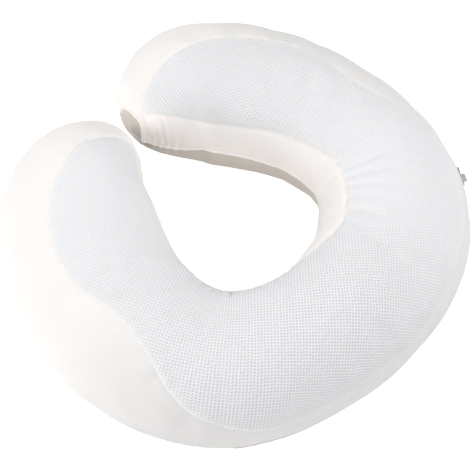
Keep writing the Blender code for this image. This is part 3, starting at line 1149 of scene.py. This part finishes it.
@dataclass(frozen=True)
class SpacerMesh:
    """The pale net of the top panel, with long holes in slanting rows, finer towards its seam."""

    name: str = "pale_spacer_mesh"
    net: tuple = (0.895, 0.897, 0.913)
    # The holes' dark colour is painted shade inside the net's real openings.
    hole_shade_tone: tuple = (0.59, 0.592, 0.62)
    hem: tuple = (0.88, 0.87, 0.86)
    pitch: float = 1.97
    slant: float = 48.0
    hole_width: float = 0.25
    hole_length: float = 0.54
    soft: float = 0.55

    def material(self) -> bpy.types.Material:
        """Make the finish.

        Returns:
            The material, which reads the panel's flat cut, its hem and how far the holes' painted shade is
            taken off.
        """
        line = ShaderLine.start(self.name)
        size = 1 / (self.pitch * MM)
        pattern = {"Rotation": (0, 0, math.radians(self.slant)), "Scale": (size, size, size)}
        cut = line.stored("flat_cut").outputs["Vector"]
        place = line.add("ShaderNodeMapping", vector_type="POINT", Vector=cut, **pattern).outputs[0]
        cell = line.add("ShaderNodeVectorMath", {0: place}, operation="FRACTION").outputs[0]
        middle = {0: cell, 1: (0.5, 0.5, 0)}
        centred = line.add("ShaderNodeVectorMath", middle, operation="SUBTRACT").outputs[0]
        way = {"Vector": centred, "Angle": math.radians(-45)}
        turned = line.add("ShaderNodeVectorRotate", rotation_type="Z_AXIS", **way).outputs[0]
        oval = {0: turned, 1: (1 / self.hole_length, 1 / self.hole_width, 0)}
        long = line.add("ShaderNodeVectorMath", oval, operation="MULTIPLY").outputs[0]
        reach = line.add("ShaderNodeVectorMath", {0: long}, operation="LENGTH").outputs["Value"]
        edge = {"Value": reach, "From_Min": 1 - self.soft, "From_Max": 1 + self.soft}
        net = line.add("ShaderNodeMapRange", interpolation_type="SMOOTHSTEP", **edge).outputs[0]
        closed = {0: net, 1: line.stored("hole_shade_off_share").outputs["Fac"]}
        filled = line.add("ShaderNodeMath", closed, operation="MAXIMUM").outputs[0]
        # Painted shade in the holes, mixed with the net's own colour.
        open_net = line.mix(filled, paint(self.hole_shade_tone), paint(self.net))
        sewn = line.mix(line.stored("hem_share").outputs["Fac"], open_net, paint(self.hem))
        line.settle(Base_Color=sewn, Normal=line.bump(filled, 0.6, 0.0004))
        line.settle(Roughness=0.8, Sheen_Weight=0.1)
        return line.material


@dataclass(frozen=True)
class RibbedTape:
    """The zip's woven tape, with fine ribs across it."""

    name: str = "cream_zip_tape"
    colour: tuple = (0.80, 0.76, 0.72)
    groove: float = 0.82
    rib: float = 0.0011

    def material(self) -> bpy.types.Material:
        """Make the finish.

        Returns:
            The material, which reads how far along the tape a point is.
        """
        line = ShaderLine.start(self.name)
        weave = {"Vector": line.stored("tape_cut").outputs["Vector"], "Scale": 0.314 / self.rib}
        way = {"wave_type": "BANDS", "bands_direction": "DIAGONAL"}
        wave = line.add("ShaderNodeTexWave", **way, **weave, Distortion=0.4).outputs["Fac"]
        tone = line.mix(wave, paint(self.colour, self.groove), paint(self.colour))
        line.settle(Base_Color=tone, Normal=line.bump(wave, 0.5, 0.0002), Roughness=0.85)
        return line.material


@dataclass(frozen=True)
class SmallPartFinish:
    """The finish of the zip's small hard parts, a little uneven in tone and gloss."""

    name: str
    colour: tuple
    roughness: float
    metallic: float = 0.0
    unevenness: float = 0.2
    gloss_change: float = 0.08
    grain: float = 700.0

    def material(self) -> bpy.types.Material:
        """Make the finish.

        Returns:
            The material.
        """
        line = ShaderLine.start(self.name)
        place = line.add("ShaderNodeTexCoord").outputs["Object"]
        noise = line.add("ShaderNodeTexNoise", Vector=place, Scale=self.grain, Detail=3.0).outputs["Fac"]
        tone = line.mix(noise, paint(self.colour, 1 - self.unevenness), paint(self.colour))
        ends = {"To_Min": self.roughness - self.gloss_change, "To_Max": self.roughness + self.gloss_change}
        gloss = line.add("ShaderNodeMapRange", Value=noise, **ends).outputs[0]
        line.settle(Base_Color=tone, Roughness=gloss, Metallic=self.metallic)
        return line.material


@dataclass
class SideCover:
    """The foam with its smooth cover: the sides show, the rest lies under the two panels."""

    form: RingForm
    relief: Relief
    # Its second tone is more neutral and darker; the darkness is painted shade where the band turns away
    # from the light.
    finish: SmoothCloth = SmoothCloth(grey_and_shade_tone=(0.81, 0.797, 0.789))
    under_mesh: float = 2.2
    under_base: float = 1.3
    border_columns: int = 3
    thinning: int = 4

    def build(self) -> bpy.types.Object:
        """Make the piece.

        Returns:
            The dressed object.
        """
        form, relief = self.form, self.relief
        depth = np.zeros(form.points.shape[:2])
        rows = form.panel_rows()
        depth[np.ix_(rows[1:-1], form.columns(Zone.MESH)[1:-1])] = self.under_mesh
        base = form.length - form.runs > BASE_END
        depth[:, form.columns(Zone.BASE)[1:-1]] = self.under_base * base[:, None]
        depth[form.runs < form.runs[form.cap_row()]] = self.under_base
        points = (relief.dressed - relief.normals * depth[..., None])[:, self.kept_columns()]
        count, across = points.shape[:2]
        flat = np.concatenate([points.reshape(-1, 3), points[[0, -1]].mean(axis=1)])
        faces = grid_faces(count, across, closed=True) + tip_faces(count, across)
        piece = cloth_object("side_cover", flat, faces)
        store(piece, "grey_and_shade_share", np.append(self.grey_and_shade_share(), (0.0, 0.0)))
        piece.data.materials.append(self.finish.material())
        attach(piece, "root")
        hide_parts("filled_body")
        return piece

    def grey_and_shade_share(self) -> np.ndarray:
        """Find how far the side band's cloth goes over to its darker tone round the neck's back, its painted
        shade.

        Returns:
            A share for each row and kept column.
        """
        form = self.form
        share = np.zeros(form.points.shape[:2])
        # Painted shade on the band round the neck's back, faded out towards both arms.
        ends = ramp(form.turns, -150, 35) * ramp(-form.turns, -98, 34)
        share[:, form.columns(Zone.BAND)] = ends[:, None]
        return share[:, self.kept_columns()]

    def kept_columns(self) -> np.ndarray:
        """Choose the columns that the piece needs: all that show and a few of the hidden ones.

        Returns:
            The columns' numbers.
        """
        kept, border = [], self.border_columns
        for zone in Zone:
            columns = self.form.columns(zone)[:-1]
            if zone in (Zone.MESH, Zone.BASE):
                inside = columns[border : -border : self.thinning]
                columns = np.concatenate([columns[:border], inside, columns[-border:]])
            kept.append(columns)
        return np.concatenate(kept)


@dataclass
class MeshTop:
    """The spacer mesh over the crown, cut flat from one piece and sewn down all round."""

    form: RingForm
    relief: Relief
    finish: SpacerMesh = SpacerMesh()
    thickness: float = 1.8
    clamp: float = 2.0
    cut_turn: float = 0.79
    flat_radius: float = 136.0
    hem_reach: float = 2.0
    flat: tuple = (0.33, 0.31)
    area: float = 0.05

    def build(self) -> bpy.types.Object:
        """Make the piece.

        Returns:
            The dressed object.
        """
        rows, columns = self.form.panel_rows(), self.form.columns(Zone.MESH)
        grid = self.relief.dressed[np.ix_(rows, columns)]
        piece = cloth_object("mesh_top", grid.reshape(-1, 3), grid_faces(*grid.shape[:2], closed=False))
        self.mark(piece, rows, columns)
        thicken(piece, self.thickness, self.clamp)
        piece.data.materials.append(self.finish.material())
        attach(piece, "root")
        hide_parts("mesh_panel")
        return piece

    def mark(self, piece: bpy.types.Object, rows: np.ndarray, columns: np.ndarray) -> None:
        """Store where each point lay on the flat cloth, how near it is to the seam and its holes' painted
        shade.

        Args:
            piece: The panel, before it gets its thickness.
            rows: The form's rows that it covers.
            columns: The form's columns that it covers.
        """
        form, here = self.form, np.ix_(rows, columns)
        top = np.array([form.arc_at(form.turns[row], 90.0) for row in rows])
        radius = self.flat_radius + top[:, None] - form.arcs[here]
        angle = np.radians(form.turns[rows] * self.cut_turn)[:, None]
        flat = np.stack([radius * np.sin(angle), radius * np.cos(angle), np.zeros_like(radius)], -1)
        near = np.exp(-self.relief.from_mesh_seam[here] / self.hem_reach)
        store(piece, "flat_cut", flat * MM, "FLOAT_VECTOR")
        store(piece, "hem_share", near)
        store(piece, "hole_shade_off_share", np.maximum(near, 1 - through(SEAMS, "open", form.turns[rows])[:, None]))
        LOG.info("mesh flat size %s", np.ptp(flat.reshape(-1, 3), axis=0))


@dataclass
class BaseCloth:
    """The smooth panel that the pillow lies on, in a brown painted shade, which also caps the first arm's
    end.
    """

    form: RingForm
    relief: Relief
    # Its brown is painted shade: the strip under the inner wall and the first arm's end face are darkened in
    # colour, not by the lamps.
    finish: SmoothCloth = SmoothCloth(name="base_cloth_painted_shade", colour=(0.63, 0.58, 0.53))
    thickness: float = 1.1
    flat: tuple = (0.35, 0.33)
    area: float = 0.08

    def build(self) -> bpy.types.Object:
        """Make the piece.

        Returns:
            The dressed object.
        """
        form = self.form
        points = self.relief.dressed[form.runs <= form.length - BASE_END]
        count, across = points.shape[:2]
        kept = np.zeros((count - 1, across), bool)
        # The cap is a sheet of the brown base cloth over the first arm's end face, as painted shade.
        kept[: form.cap_row()] = True
        kept[:, form.columns(Zone.BASE)[:-1]] = True
        squares = np.array(grid_faces(count, across, closed=True))[kept.reshape(-1)]
        cap = np.array(tip_faces(count, across)[::2])
        used = np.unique(np.concatenate([squares.reshape(-1), cap.reshape(-1)]))
        faces = np.searchsorted(used, squares).tolist() + np.searchsorted(used, cap).tolist()
        flat = np.concatenate([points.reshape(-1, 3), points[:1].mean(axis=1)])
        piece = cloth_object("base_cloth", flat[used], faces)
        LOG.info("base cloth area %.4f", sum(face.area for face in piece.data.polygons))
        thicken(piece, self.thickness)
        piece.data.materials.append(self.finish.material())
        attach(piece, "root")
        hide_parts("base_panel")
        return piece


@dataclass
class ZipPath:
    """Where the zip runs on the side band: its middle, its way up the band and its way out."""

    relief: Relief
    start: float = ZIP_START
    stop: float = ZIP_STOP
    middle: float = 4.6

    def __post_init__(self) -> None:
        """Find the zip's rows and the points along its middle."""
        turns = self.relief.form.turns
        self.rows = np.nonzero((turns >= self.start) & (turns <= self.stop))[0]
        self.points = np.array([self.relief.at(row, self.middle)[0] for row in self.rows])
        self.runs = runs_along(self.points)

    def frame(self, run: float) -> Matrix:
        """Find the place at a length along the zip.

        Args:
            run: The length, in millimetres.

        Returns:
            A matrix in millimetres, with x along the zip, y across it and z out of the cloth.
        """
        k = int(np.clip(np.searchsorted(self.runs, run) - 1, 0, len(self.rows) - 2))
        share = float((run - self.runs[k]) / (self.runs[k + 1] - self.runs[k]))
        point = self.points[k] * (1 - share) + self.points[k + 1] * share
        along = unit(self.points[min(k + 2, len(self.rows) - 1)] - self.points[max(k - 1, 0)])
        outs = [self.relief.at(self.rows[row], self.middle)[1] for row in (k, k + 1)]
        out = outs[0] * (1 - share) + outs[1] * share
        out = unit(out - along * (out @ along))
        across = np.cross(out, along)
        turned = Matrix([[*row] for row in np.stack([along, across, out], -1)])
        return Matrix.Translation(Vector(point)) @ turned.to_4x4()


@dataclass
class ZipTape:
    """The woven tape in the side seam that carries the teeth."""

    path: ZipPath
    finish: RibbedTape = RibbedTape()
    edges: tuple = (-3.2, -2.0, -1.4, 0.0, 1.4, 2.0, 3.2)
    lifts: tuple = (0.30, 0.55, 0.60, 0.60, 0.60, 0.55, 0.30)
    thickness: float = 0.25

    def build(self) -> bpy.types.Object:
        """Make the piece.

        Returns:
            The dressed object.
        """
        path = self.path
        points, cut = [], []
        for row, run in zip(path.rows, path.runs):
            for edge, lift in zip(self.edges, self.lifts):
                point, out = path.relief.at(row, path.middle + edge)
                points.append(point + out * lift)
                cut.append((run * MM, edge * MM, 0.0))
        faces = grid_faces(len(path.rows), len(self.edges), closed=False)
        piece = cloth_object("zip_tape_cloth", np.array(points), faces)
        store(piece, "tape_cut", np.array(cut), "FLOAT_VECTOR")
        thicken(piece, self.thickness)
        piece.data.materials.append(self.finish.material())
        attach(piece, "root")
        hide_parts("zip_tape")
        return piece


def pick(piece: bpy.types.Object, kind: str, test: Callable[..., bool]) -> None:
    """Select the vertices, edges or faces of a piece in edit mode by where they are.

    Args:
        piece: The object that is being edited.
        kind: VERT, EDGE or FACE.
        test: Whether an element is wanted, from a vertex's place, from the places of an edge's two
            ends, or from a face's middle and its normal.
    """
    bpy.ops.mesh.select_mode(type=kind)
    bpy.ops.mesh.select_all(action="DESELECT")
    shape = bmesh.from_edit_mesh(piece.data)
    for element in {"VERT": shape.verts, "EDGE": shape.edges, "FACE": shape.faces}[kind]:
        if kind == "FACE":
            wanted = test(element.calc_center_median(), element.normal)
        elif kind == "EDGE":
            wanted = test(element.verts[0].co, element.verts[1].co)
        else:
            wanted = test(element.co)
        element.select_set(bool(wanted))
    shape.select_flush(True)
    bmesh.update_edit_mesh(piece.data)


def upright(a: Vector, b: Vector) -> bool:
    """Tell whether an edge from one place to another stands upright."""
    return abs(a.x - b.x) < 0.01 and abs(a.y - b.y) < 0.01


def start_block(name: str, size: tuple, centre: tuple) -> bpy.types.Object:
    """Add a block at the origin as the start of a piece and open it in edit mode.

    Args:
        name: The piece's name.
        size: Its length, width and height, in millimetres.
        centre: Where its middle is, in millimetres.

    Returns:
        The object, in edit mode.
    """
    select_only()
    bpy.ops.mesh.primitive_cube_add(size=1.0, location=(0, 0, 0))
    piece = bpy.context.active_object
    piece.name = name
    bpy.ops.object.mode_set(mode="EDIT")
    bpy.ops.mesh.select_all(action="SELECT")
    bpy.ops.transform.resize(value=size)
    bpy.ops.transform.translate(value=centre)
    return piece


def close_edit(piece: bpy.types.Object, angle: float = 40.0) -> None:
    """Leave edit mode with the faces turned out.

    Args:
        piece: The object that is being edited.
        angle: Below how many degrees between two faces their edge is smooth.
    """
    bpy.ops.mesh.select_all(action="SELECT")
    bpy.ops.mesh.normals_make_consistent(inside=False)
    bpy.ops.object.mode_set(mode="OBJECT")
    select_only(piece)
    bpy.ops.object.shade_smooth_by_angle(angle=math.radians(angle))


@dataclass
class ZipTeeth:
    """The closed teeth: one tooth, copied from side to side along the zip."""

    path: ZipPath
    finish: SmallPartFinish = SmallPartFinish("pale_nylon_teeth", (0.74, 0.71, 0.68), 0.45)
    pitch: float = 1.0
    stagger: float = 0.55
    tooth: tuple = (0.72, 2.4, 0.6)
    lift: float = 0.85
    round: float = 0.18
    margin: float = 1.5

    def one_tooth(self) -> bpy.types.Object:
        """Model the tooth at the origin, in millimetres.

        Returns:
            The tooth.
        """
        tooth = start_block("zip_tooth", self.tooth, (0, 0, 0))
        pick(tooth, "EDGE", lambda a, b: a.z > 0 and b.z > 0)
        bpy.ops.mesh.bevel(offset=self.round, segments=2, affect="EDGES")
        close_edit(tooth, 60.0)
        return tooth

    def build(self) -> bpy.types.Object:
        """Make the piece.

        Returns:
            The dressed object.
        """
        tooth = self.one_tooth()
        copies = []
        for k in range(int((self.path.runs[-1] - 2 * self.margin) / self.pitch)):
            side = self.stagger if k % 2 else -self.stagger
            copy = bpy.data.objects.new("zip_tooth_copy", tooth.data.copy())
            place = self.path.frame(self.margin + k * self.pitch)
            copy.data.transform(place @ Matrix.Translation((0, side, self.lift)))
            bpy.context.collection.objects.link(copy)
            copies.append(copy)
        bpy.data.objects.remove(tooth)
        select_only(*copies)
        bpy.ops.object.join()
        piece = copies[0]
        piece.name = "zip_teeth"
        piece.data.transform(Matrix.Scale(MM, 4))
        piece.data.materials.append(self.finish.material())
        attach(piece, "root")
        return piece


@dataclass
class ZipSlider:
    """The slider on the teeth with the bail that holds its pull."""

    path: ZipPath
    turn: float = -51.9
    length: float = 9.6
    width: float = 5.6
    nose: float = 4.0
    height: float = 1.6
    lift: float = 1.2
    corner: float = 1.2
    rim: float = 0.7
    crown: float = 0.35
    groove: float = 0.35
    bail_length: float = 3.6
    bail_rise: float = 0.4
    bail_arch: float = 0.3
    wire: float = 0.9
    bail_width: float = 1.4
    bail_plate: float = 0.4
    finish: SmallPartFinish = SmallPartFinish("dull_zip_metal", (0.20, 0.20, 0.21), 0.38, 0.9)

    @property
    def place(self) -> Matrix:
        """Find the slider's place on the zip.

        Returns:
            The place of the underside of its body, in millimetres.
        """
        turns = self.path.relief.form.turns[self.path.rows]
        run = float(np.interp(self.turn, turns, self.path.runs))
        return self.path.frame(run) @ Matrix.Translation((0, 0, self.lift))

    @property
    def foot(self) -> float:
        """How far each foot of the bail is from its middle, in millimetres."""
        return self.bail_length / 2 - self.wire / 2

    def body(self) -> bpy.types.Object:
        """Model the slider's body: narrower at its nose, with rounded edges and side flanges.

        Returns:
            The body, in millimetres.
        """
        top = self.height
        piece = start_block("slider_body", (self.length, self.width, self.height), (0, 0, self.height / 2))
        pick(piece, "FACE", lambda middle, normal: normal.x < -0.9)
        bpy.ops.transform.resize(value=(1, self.nose / self.width, 1))
        pick(piece, "EDGE", upright)
        bpy.ops.mesh.bevel(offset=self.corner, segments=4, affect="EDGES")
        pick(piece, "FACE", lambda middle, normal: normal.z > 0.9)
        bpy.ops.mesh.inset(thickness=self.rim, depth=0.0)
        bpy.ops.transform.translate(value=(0, 0, self.crown))
        pick(piece, "EDGE", lambda a, b: abs(a.z - top) < 0.01 and abs(b.z - top) < 0.01)
        bpy.ops.mesh.bevel(offset=0.3, segments=2, affect="EDGES")
        pick(piece, "FACE", lambda middle, normal: abs(normal.y) > 0.9 and abs(middle.x) < 0.3 * self.length)
        bpy.ops.mesh.inset(thickness=0.5, depth=-self.groove)
        close_edit(piece)
        return piece

    def bail(self) -> bpy.types.Object:
        """Model the bail: a flat wire up from the body, over the pull's eye and down again.

        Returns:
            The bail, in millimetres.
        """
        floor = self.height + 0.1
        size = (self.wire, self.bail_width, self.bail_plate)
        piece = start_block("slider_bail", size, (-self.foot, 0, floor))
        pick(piece, "FACE", lambda middle, normal: normal.z > 0.9)
        bpy.ops.mesh.extrude_region_move(TRANSFORM_OT_translate={"value": (0, 0, self.bail_rise)})
        crown = floor + self.bail_plate / 2 + self.bail_rise
        bpy.ops.mesh.spin(steps=8, angle=math.pi, center=(0, 0, crown), axis=(0, 1, 0))
        pick(piece, "VERT", lambda place: place.z > crown + 0.01)
        bpy.ops.transform.resize(value=(1, 1, self.bail_arch), center_override=(0, 0, crown))
        pick(piece, "FACE", lambda middle, normal: abs(middle.z - crown) < 0.05 and middle.x > 0.5)
        bpy.ops.mesh.extrude_region_move(TRANSFORM_OT_translate={"value": (0, 0, -self.bail_rise - 0.3)})
        bpy.ops.mesh.select_all(action="SELECT")
        bpy.ops.mesh.remove_doubles(threshold=0.02)
        close_edit(piece)
        return piece

    def build(self) -> bpy.types.Object:
        """Make the piece.

        Returns:
            The dressed object.
        """
        body, bail = self.body(), self.bail()
        select_only(body, bail)
        bpy.ops.object.join()
        body.name = "zip_slider_metal"
        body.data.transform(Matrix.Scale(MM, 4) @ self.place)
        body.data.materials.append(self.finish.material())
        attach(body, "root")
        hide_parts("zip_slider")
        return body


@dataclass
class ZipPull:
    """The flat pull, whose eye goes round one foot of the slider's bail."""

    slider: ZipSlider
    length: float = 10.0
    width: float = 3.6
    thickness: float = 0.6
    eye: float = 1.8
    corner: float = 0.7
    rim: float = 0.7
    hollow: float = 0.2
    past_foot: float = 0.9
    rise: float = 0.7

    def build(self) -> bpy.types.Object:
        """Make the piece.

        Returns:
            The dressed object.
        """
        slider = self.slider
        near = -slider.foot + self.eye / 2 + self.past_foot
        centre = (near - self.length / 2, 0, slider.height + self.rise)
        piece = start_block("pull_tab", (self.length, self.width, self.thickness), centre)
        neck = near - self.width
        bpy.ops.mesh.select_all(action="SELECT")
        bpy.ops.mesh.bisect(plane_co=(neck, 0, 0), plane_no=(1, 0, 0))
        pick(piece, "FACE", lambda middle, normal: abs(normal.z) > 0.9 and middle.x > neck)
        bpy.ops.mesh.inset(thickness=(self.width - self.eye) / 2, depth=0.0)
        bpy.ops.mesh.bridge_edge_loops()
        pick(piece, "EDGE", lambda a, b: upright(a, b) and abs(a.x - neck) > 0.1)
        bpy.ops.mesh.bevel(offset=self.corner, segments=3, affect="EDGES")
        pick(piece, "FACE", lambda middle, normal: abs(normal.z) > 0.9 and middle.x < neck)
        bpy.ops.mesh.inset(thickness=self.rim, depth=-self.hollow)
        close_edit(piece, 30.0)
        piece.name = "zip_pull_tab"
        piece.data.transform(Matrix.Scale(MM, 4) @ slider.place)
        piece.data.materials.append(slider.finish.material())
        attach(piece, "root")
        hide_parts("zip_pull")
        return piece


@dataclass(frozen=True)
class Lamp:
    """A soft square light that points at the origin.

    It is so many metres to the camera's right, away from it and up. Its size is its side in metres, and
    its power is in watts.
    """

    name: str
    right: float
    ahead: float
    high: float
    size: float
    power: float


@dataclass
class Studio:
    """The camera, the pale floor, and a low window and three lamps in an unlit room.

    The target and the distance to it are in millimetres, and the floor's size and gap in metres.
    """

    azimuth: float = -130.2
    elevation: float = 60.5
    distance: float = 950.0
    target: tuple = (10.73, 6.94, 50.0)
    focal_pixels: float = 1439.4
    frame_pixels: float = 470.0
    sensor: float = 36.0
    floor_size: float = 8.0
    floor_gap: float = 0.0005
    floor_glow: float = 0.16
    floor_seen: float = 0.6
    lamps: tuple = (
        Lamp("window", -1.9, 0.2, 0.8, 1.2, 24.2),
        Lamp("far lamp", 1.0, 1.0, 1.4, 1.4, 24.2),
        Lamp("near right lamp", 1.0, -1.0, 1.4, 1.4, 18.0),
        Lamp("near left lamp", -1.0, -1.0, 1.4, 1.4, 15.2),
    )

    def level_axes(self) -> tuple:
        """Return the directions to the camera's right and away from it, along the floor."""
        a = math.radians(self.azimuth)
        return Vector((math.cos(a), -math.sin(a), 0)), Vector((math.sin(a), math.cos(a), 0))

    def view_axes(self) -> tuple:
        """Find which way the camera looks.

        Returns:
            The directions to its right, up and back to the camera itself.
        """
        e = math.radians(self.elevation)
        right, ahead = self.level_axes()
        up = ahead * math.sin(e) + UP * math.cos(e)
        back = UP * math.sin(e) - ahead * math.cos(e)
        return right, up, back

    def add_camera(self) -> None:
        """Add the camera at the photograph's viewing angle."""
        right, up, back = self.view_axes()
        data = bpy.data.cameras.new("view")
        data.sensor_width = self.sensor
        data.lens = self.focal_pixels * self.sensor / self.frame_pixels
        data.clip_start, data.clip_end = 0.05, 20.0
        camera = bpy.data.objects.new("view", data)
        turned = Matrix((right, up, back)).transposed()
        place = (Vector(self.target) + back * self.distance) * MM
        camera.matrix_world = Matrix.Translation(place) @ turned.to_4x4()
        bpy.context.collection.objects.link(camera)
        bpy.context.scene.camera = camera

    def add_floor(self) -> None:
        """Add the plain pale floor."""
        select_only()
        bpy.ops.mesh.primitive_plane_add(size=self.floor_size, location=(0, 0, -self.floor_gap))
        floor = bpy.context.active_object
        floor.name = "floor"
        line = ShaderLine.start("pale_floor")
        pale = {"Base_Color": (0.9, 0.9, 0.9, 1), "Emission_Color": (1, 1, 1, 1), "Roughness": 0.9}
        line.settle(**pale, Emission_Strength=self.floor_glow)
        seen = line.add("ShaderNodeBsdfPrincipled", **pale, Emission_Strength=self.floor_seen)
        both = {1: line.shader.outputs["BSDF"], 2: seen.outputs["BSDF"]}
        ray = line.add("ShaderNodeLightPath").outputs["Is Camera Ray"]
        mix = line.add("ShaderNodeMixShader", both, Fac=ray)
        fill(line.material.node_tree.nodes["Material Output"].inputs["Surface"], mix.outputs["Shader"])
        floor.data.materials.append(line.material)

    def add_lamp(self, lamp: Lamp) -> None:
        """Add one lamp.

        Args:
            lamp: The lamp.
        """
        right, ahead = self.level_axes()
        data = bpy.data.lights.new(lamp.name, "AREA")
        data.shape = "SQUARE"
        data.size = lamp.size
        data.energy = lamp.power
        light = bpy.data.objects.new(lamp.name, data)
        light.location = right * lamp.right + ahead * lamp.ahead + UP * lamp.high
        light.rotation_mode = "QUATERNION"
        light.rotation_quaternion = light.location.to_track_quat("Z", "Y")
        bpy.context.collection.objects.link(light)

    def add_room(self) -> None:
        """Put the pillow in an unlit room."""
        world = bpy.data.worlds.new("room")
        world.use_nodes = True
        back = world.node_tree.nodes["Background"]
        back.inputs["Color"].default_value = (1.0, 1.0, 1.0, 1)
        back.inputs["Strength"].default_value = 0.0
        bpy.context.scene.world = world

    def build(self) -> None:
        """Set up everything round the pillow."""
        self.add_camera()
        self.add_floor()
        self.add_room()
        for lamp in self.lamps:
            self.add_lamp(lamp)
        bpy.context.scene.view_settings.view_transform = "Standard"


def main() -> None:
    """Dress the pillow and set up its portrait."""
    logging.basicConfig(level=logging.INFO, format="%(message)s")
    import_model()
    Studio().build()
    form = RingForm()
    relief = Relief(form)
    path = ZipPath(relief)
    slider = ZipSlider(path)
    cloths = [SideCover(form, relief), MeshTop(form, relief), BaseCloth(form, relief)]
    for part in cloths + [ZipTape(path), ZipTeeth(path), slider, ZipPull(slider)]:
        piece = part.build()
        LOG.info("%s: %d faces", piece.name, len(piece.data.polygons))


if __name__ == "__main__":
    main()
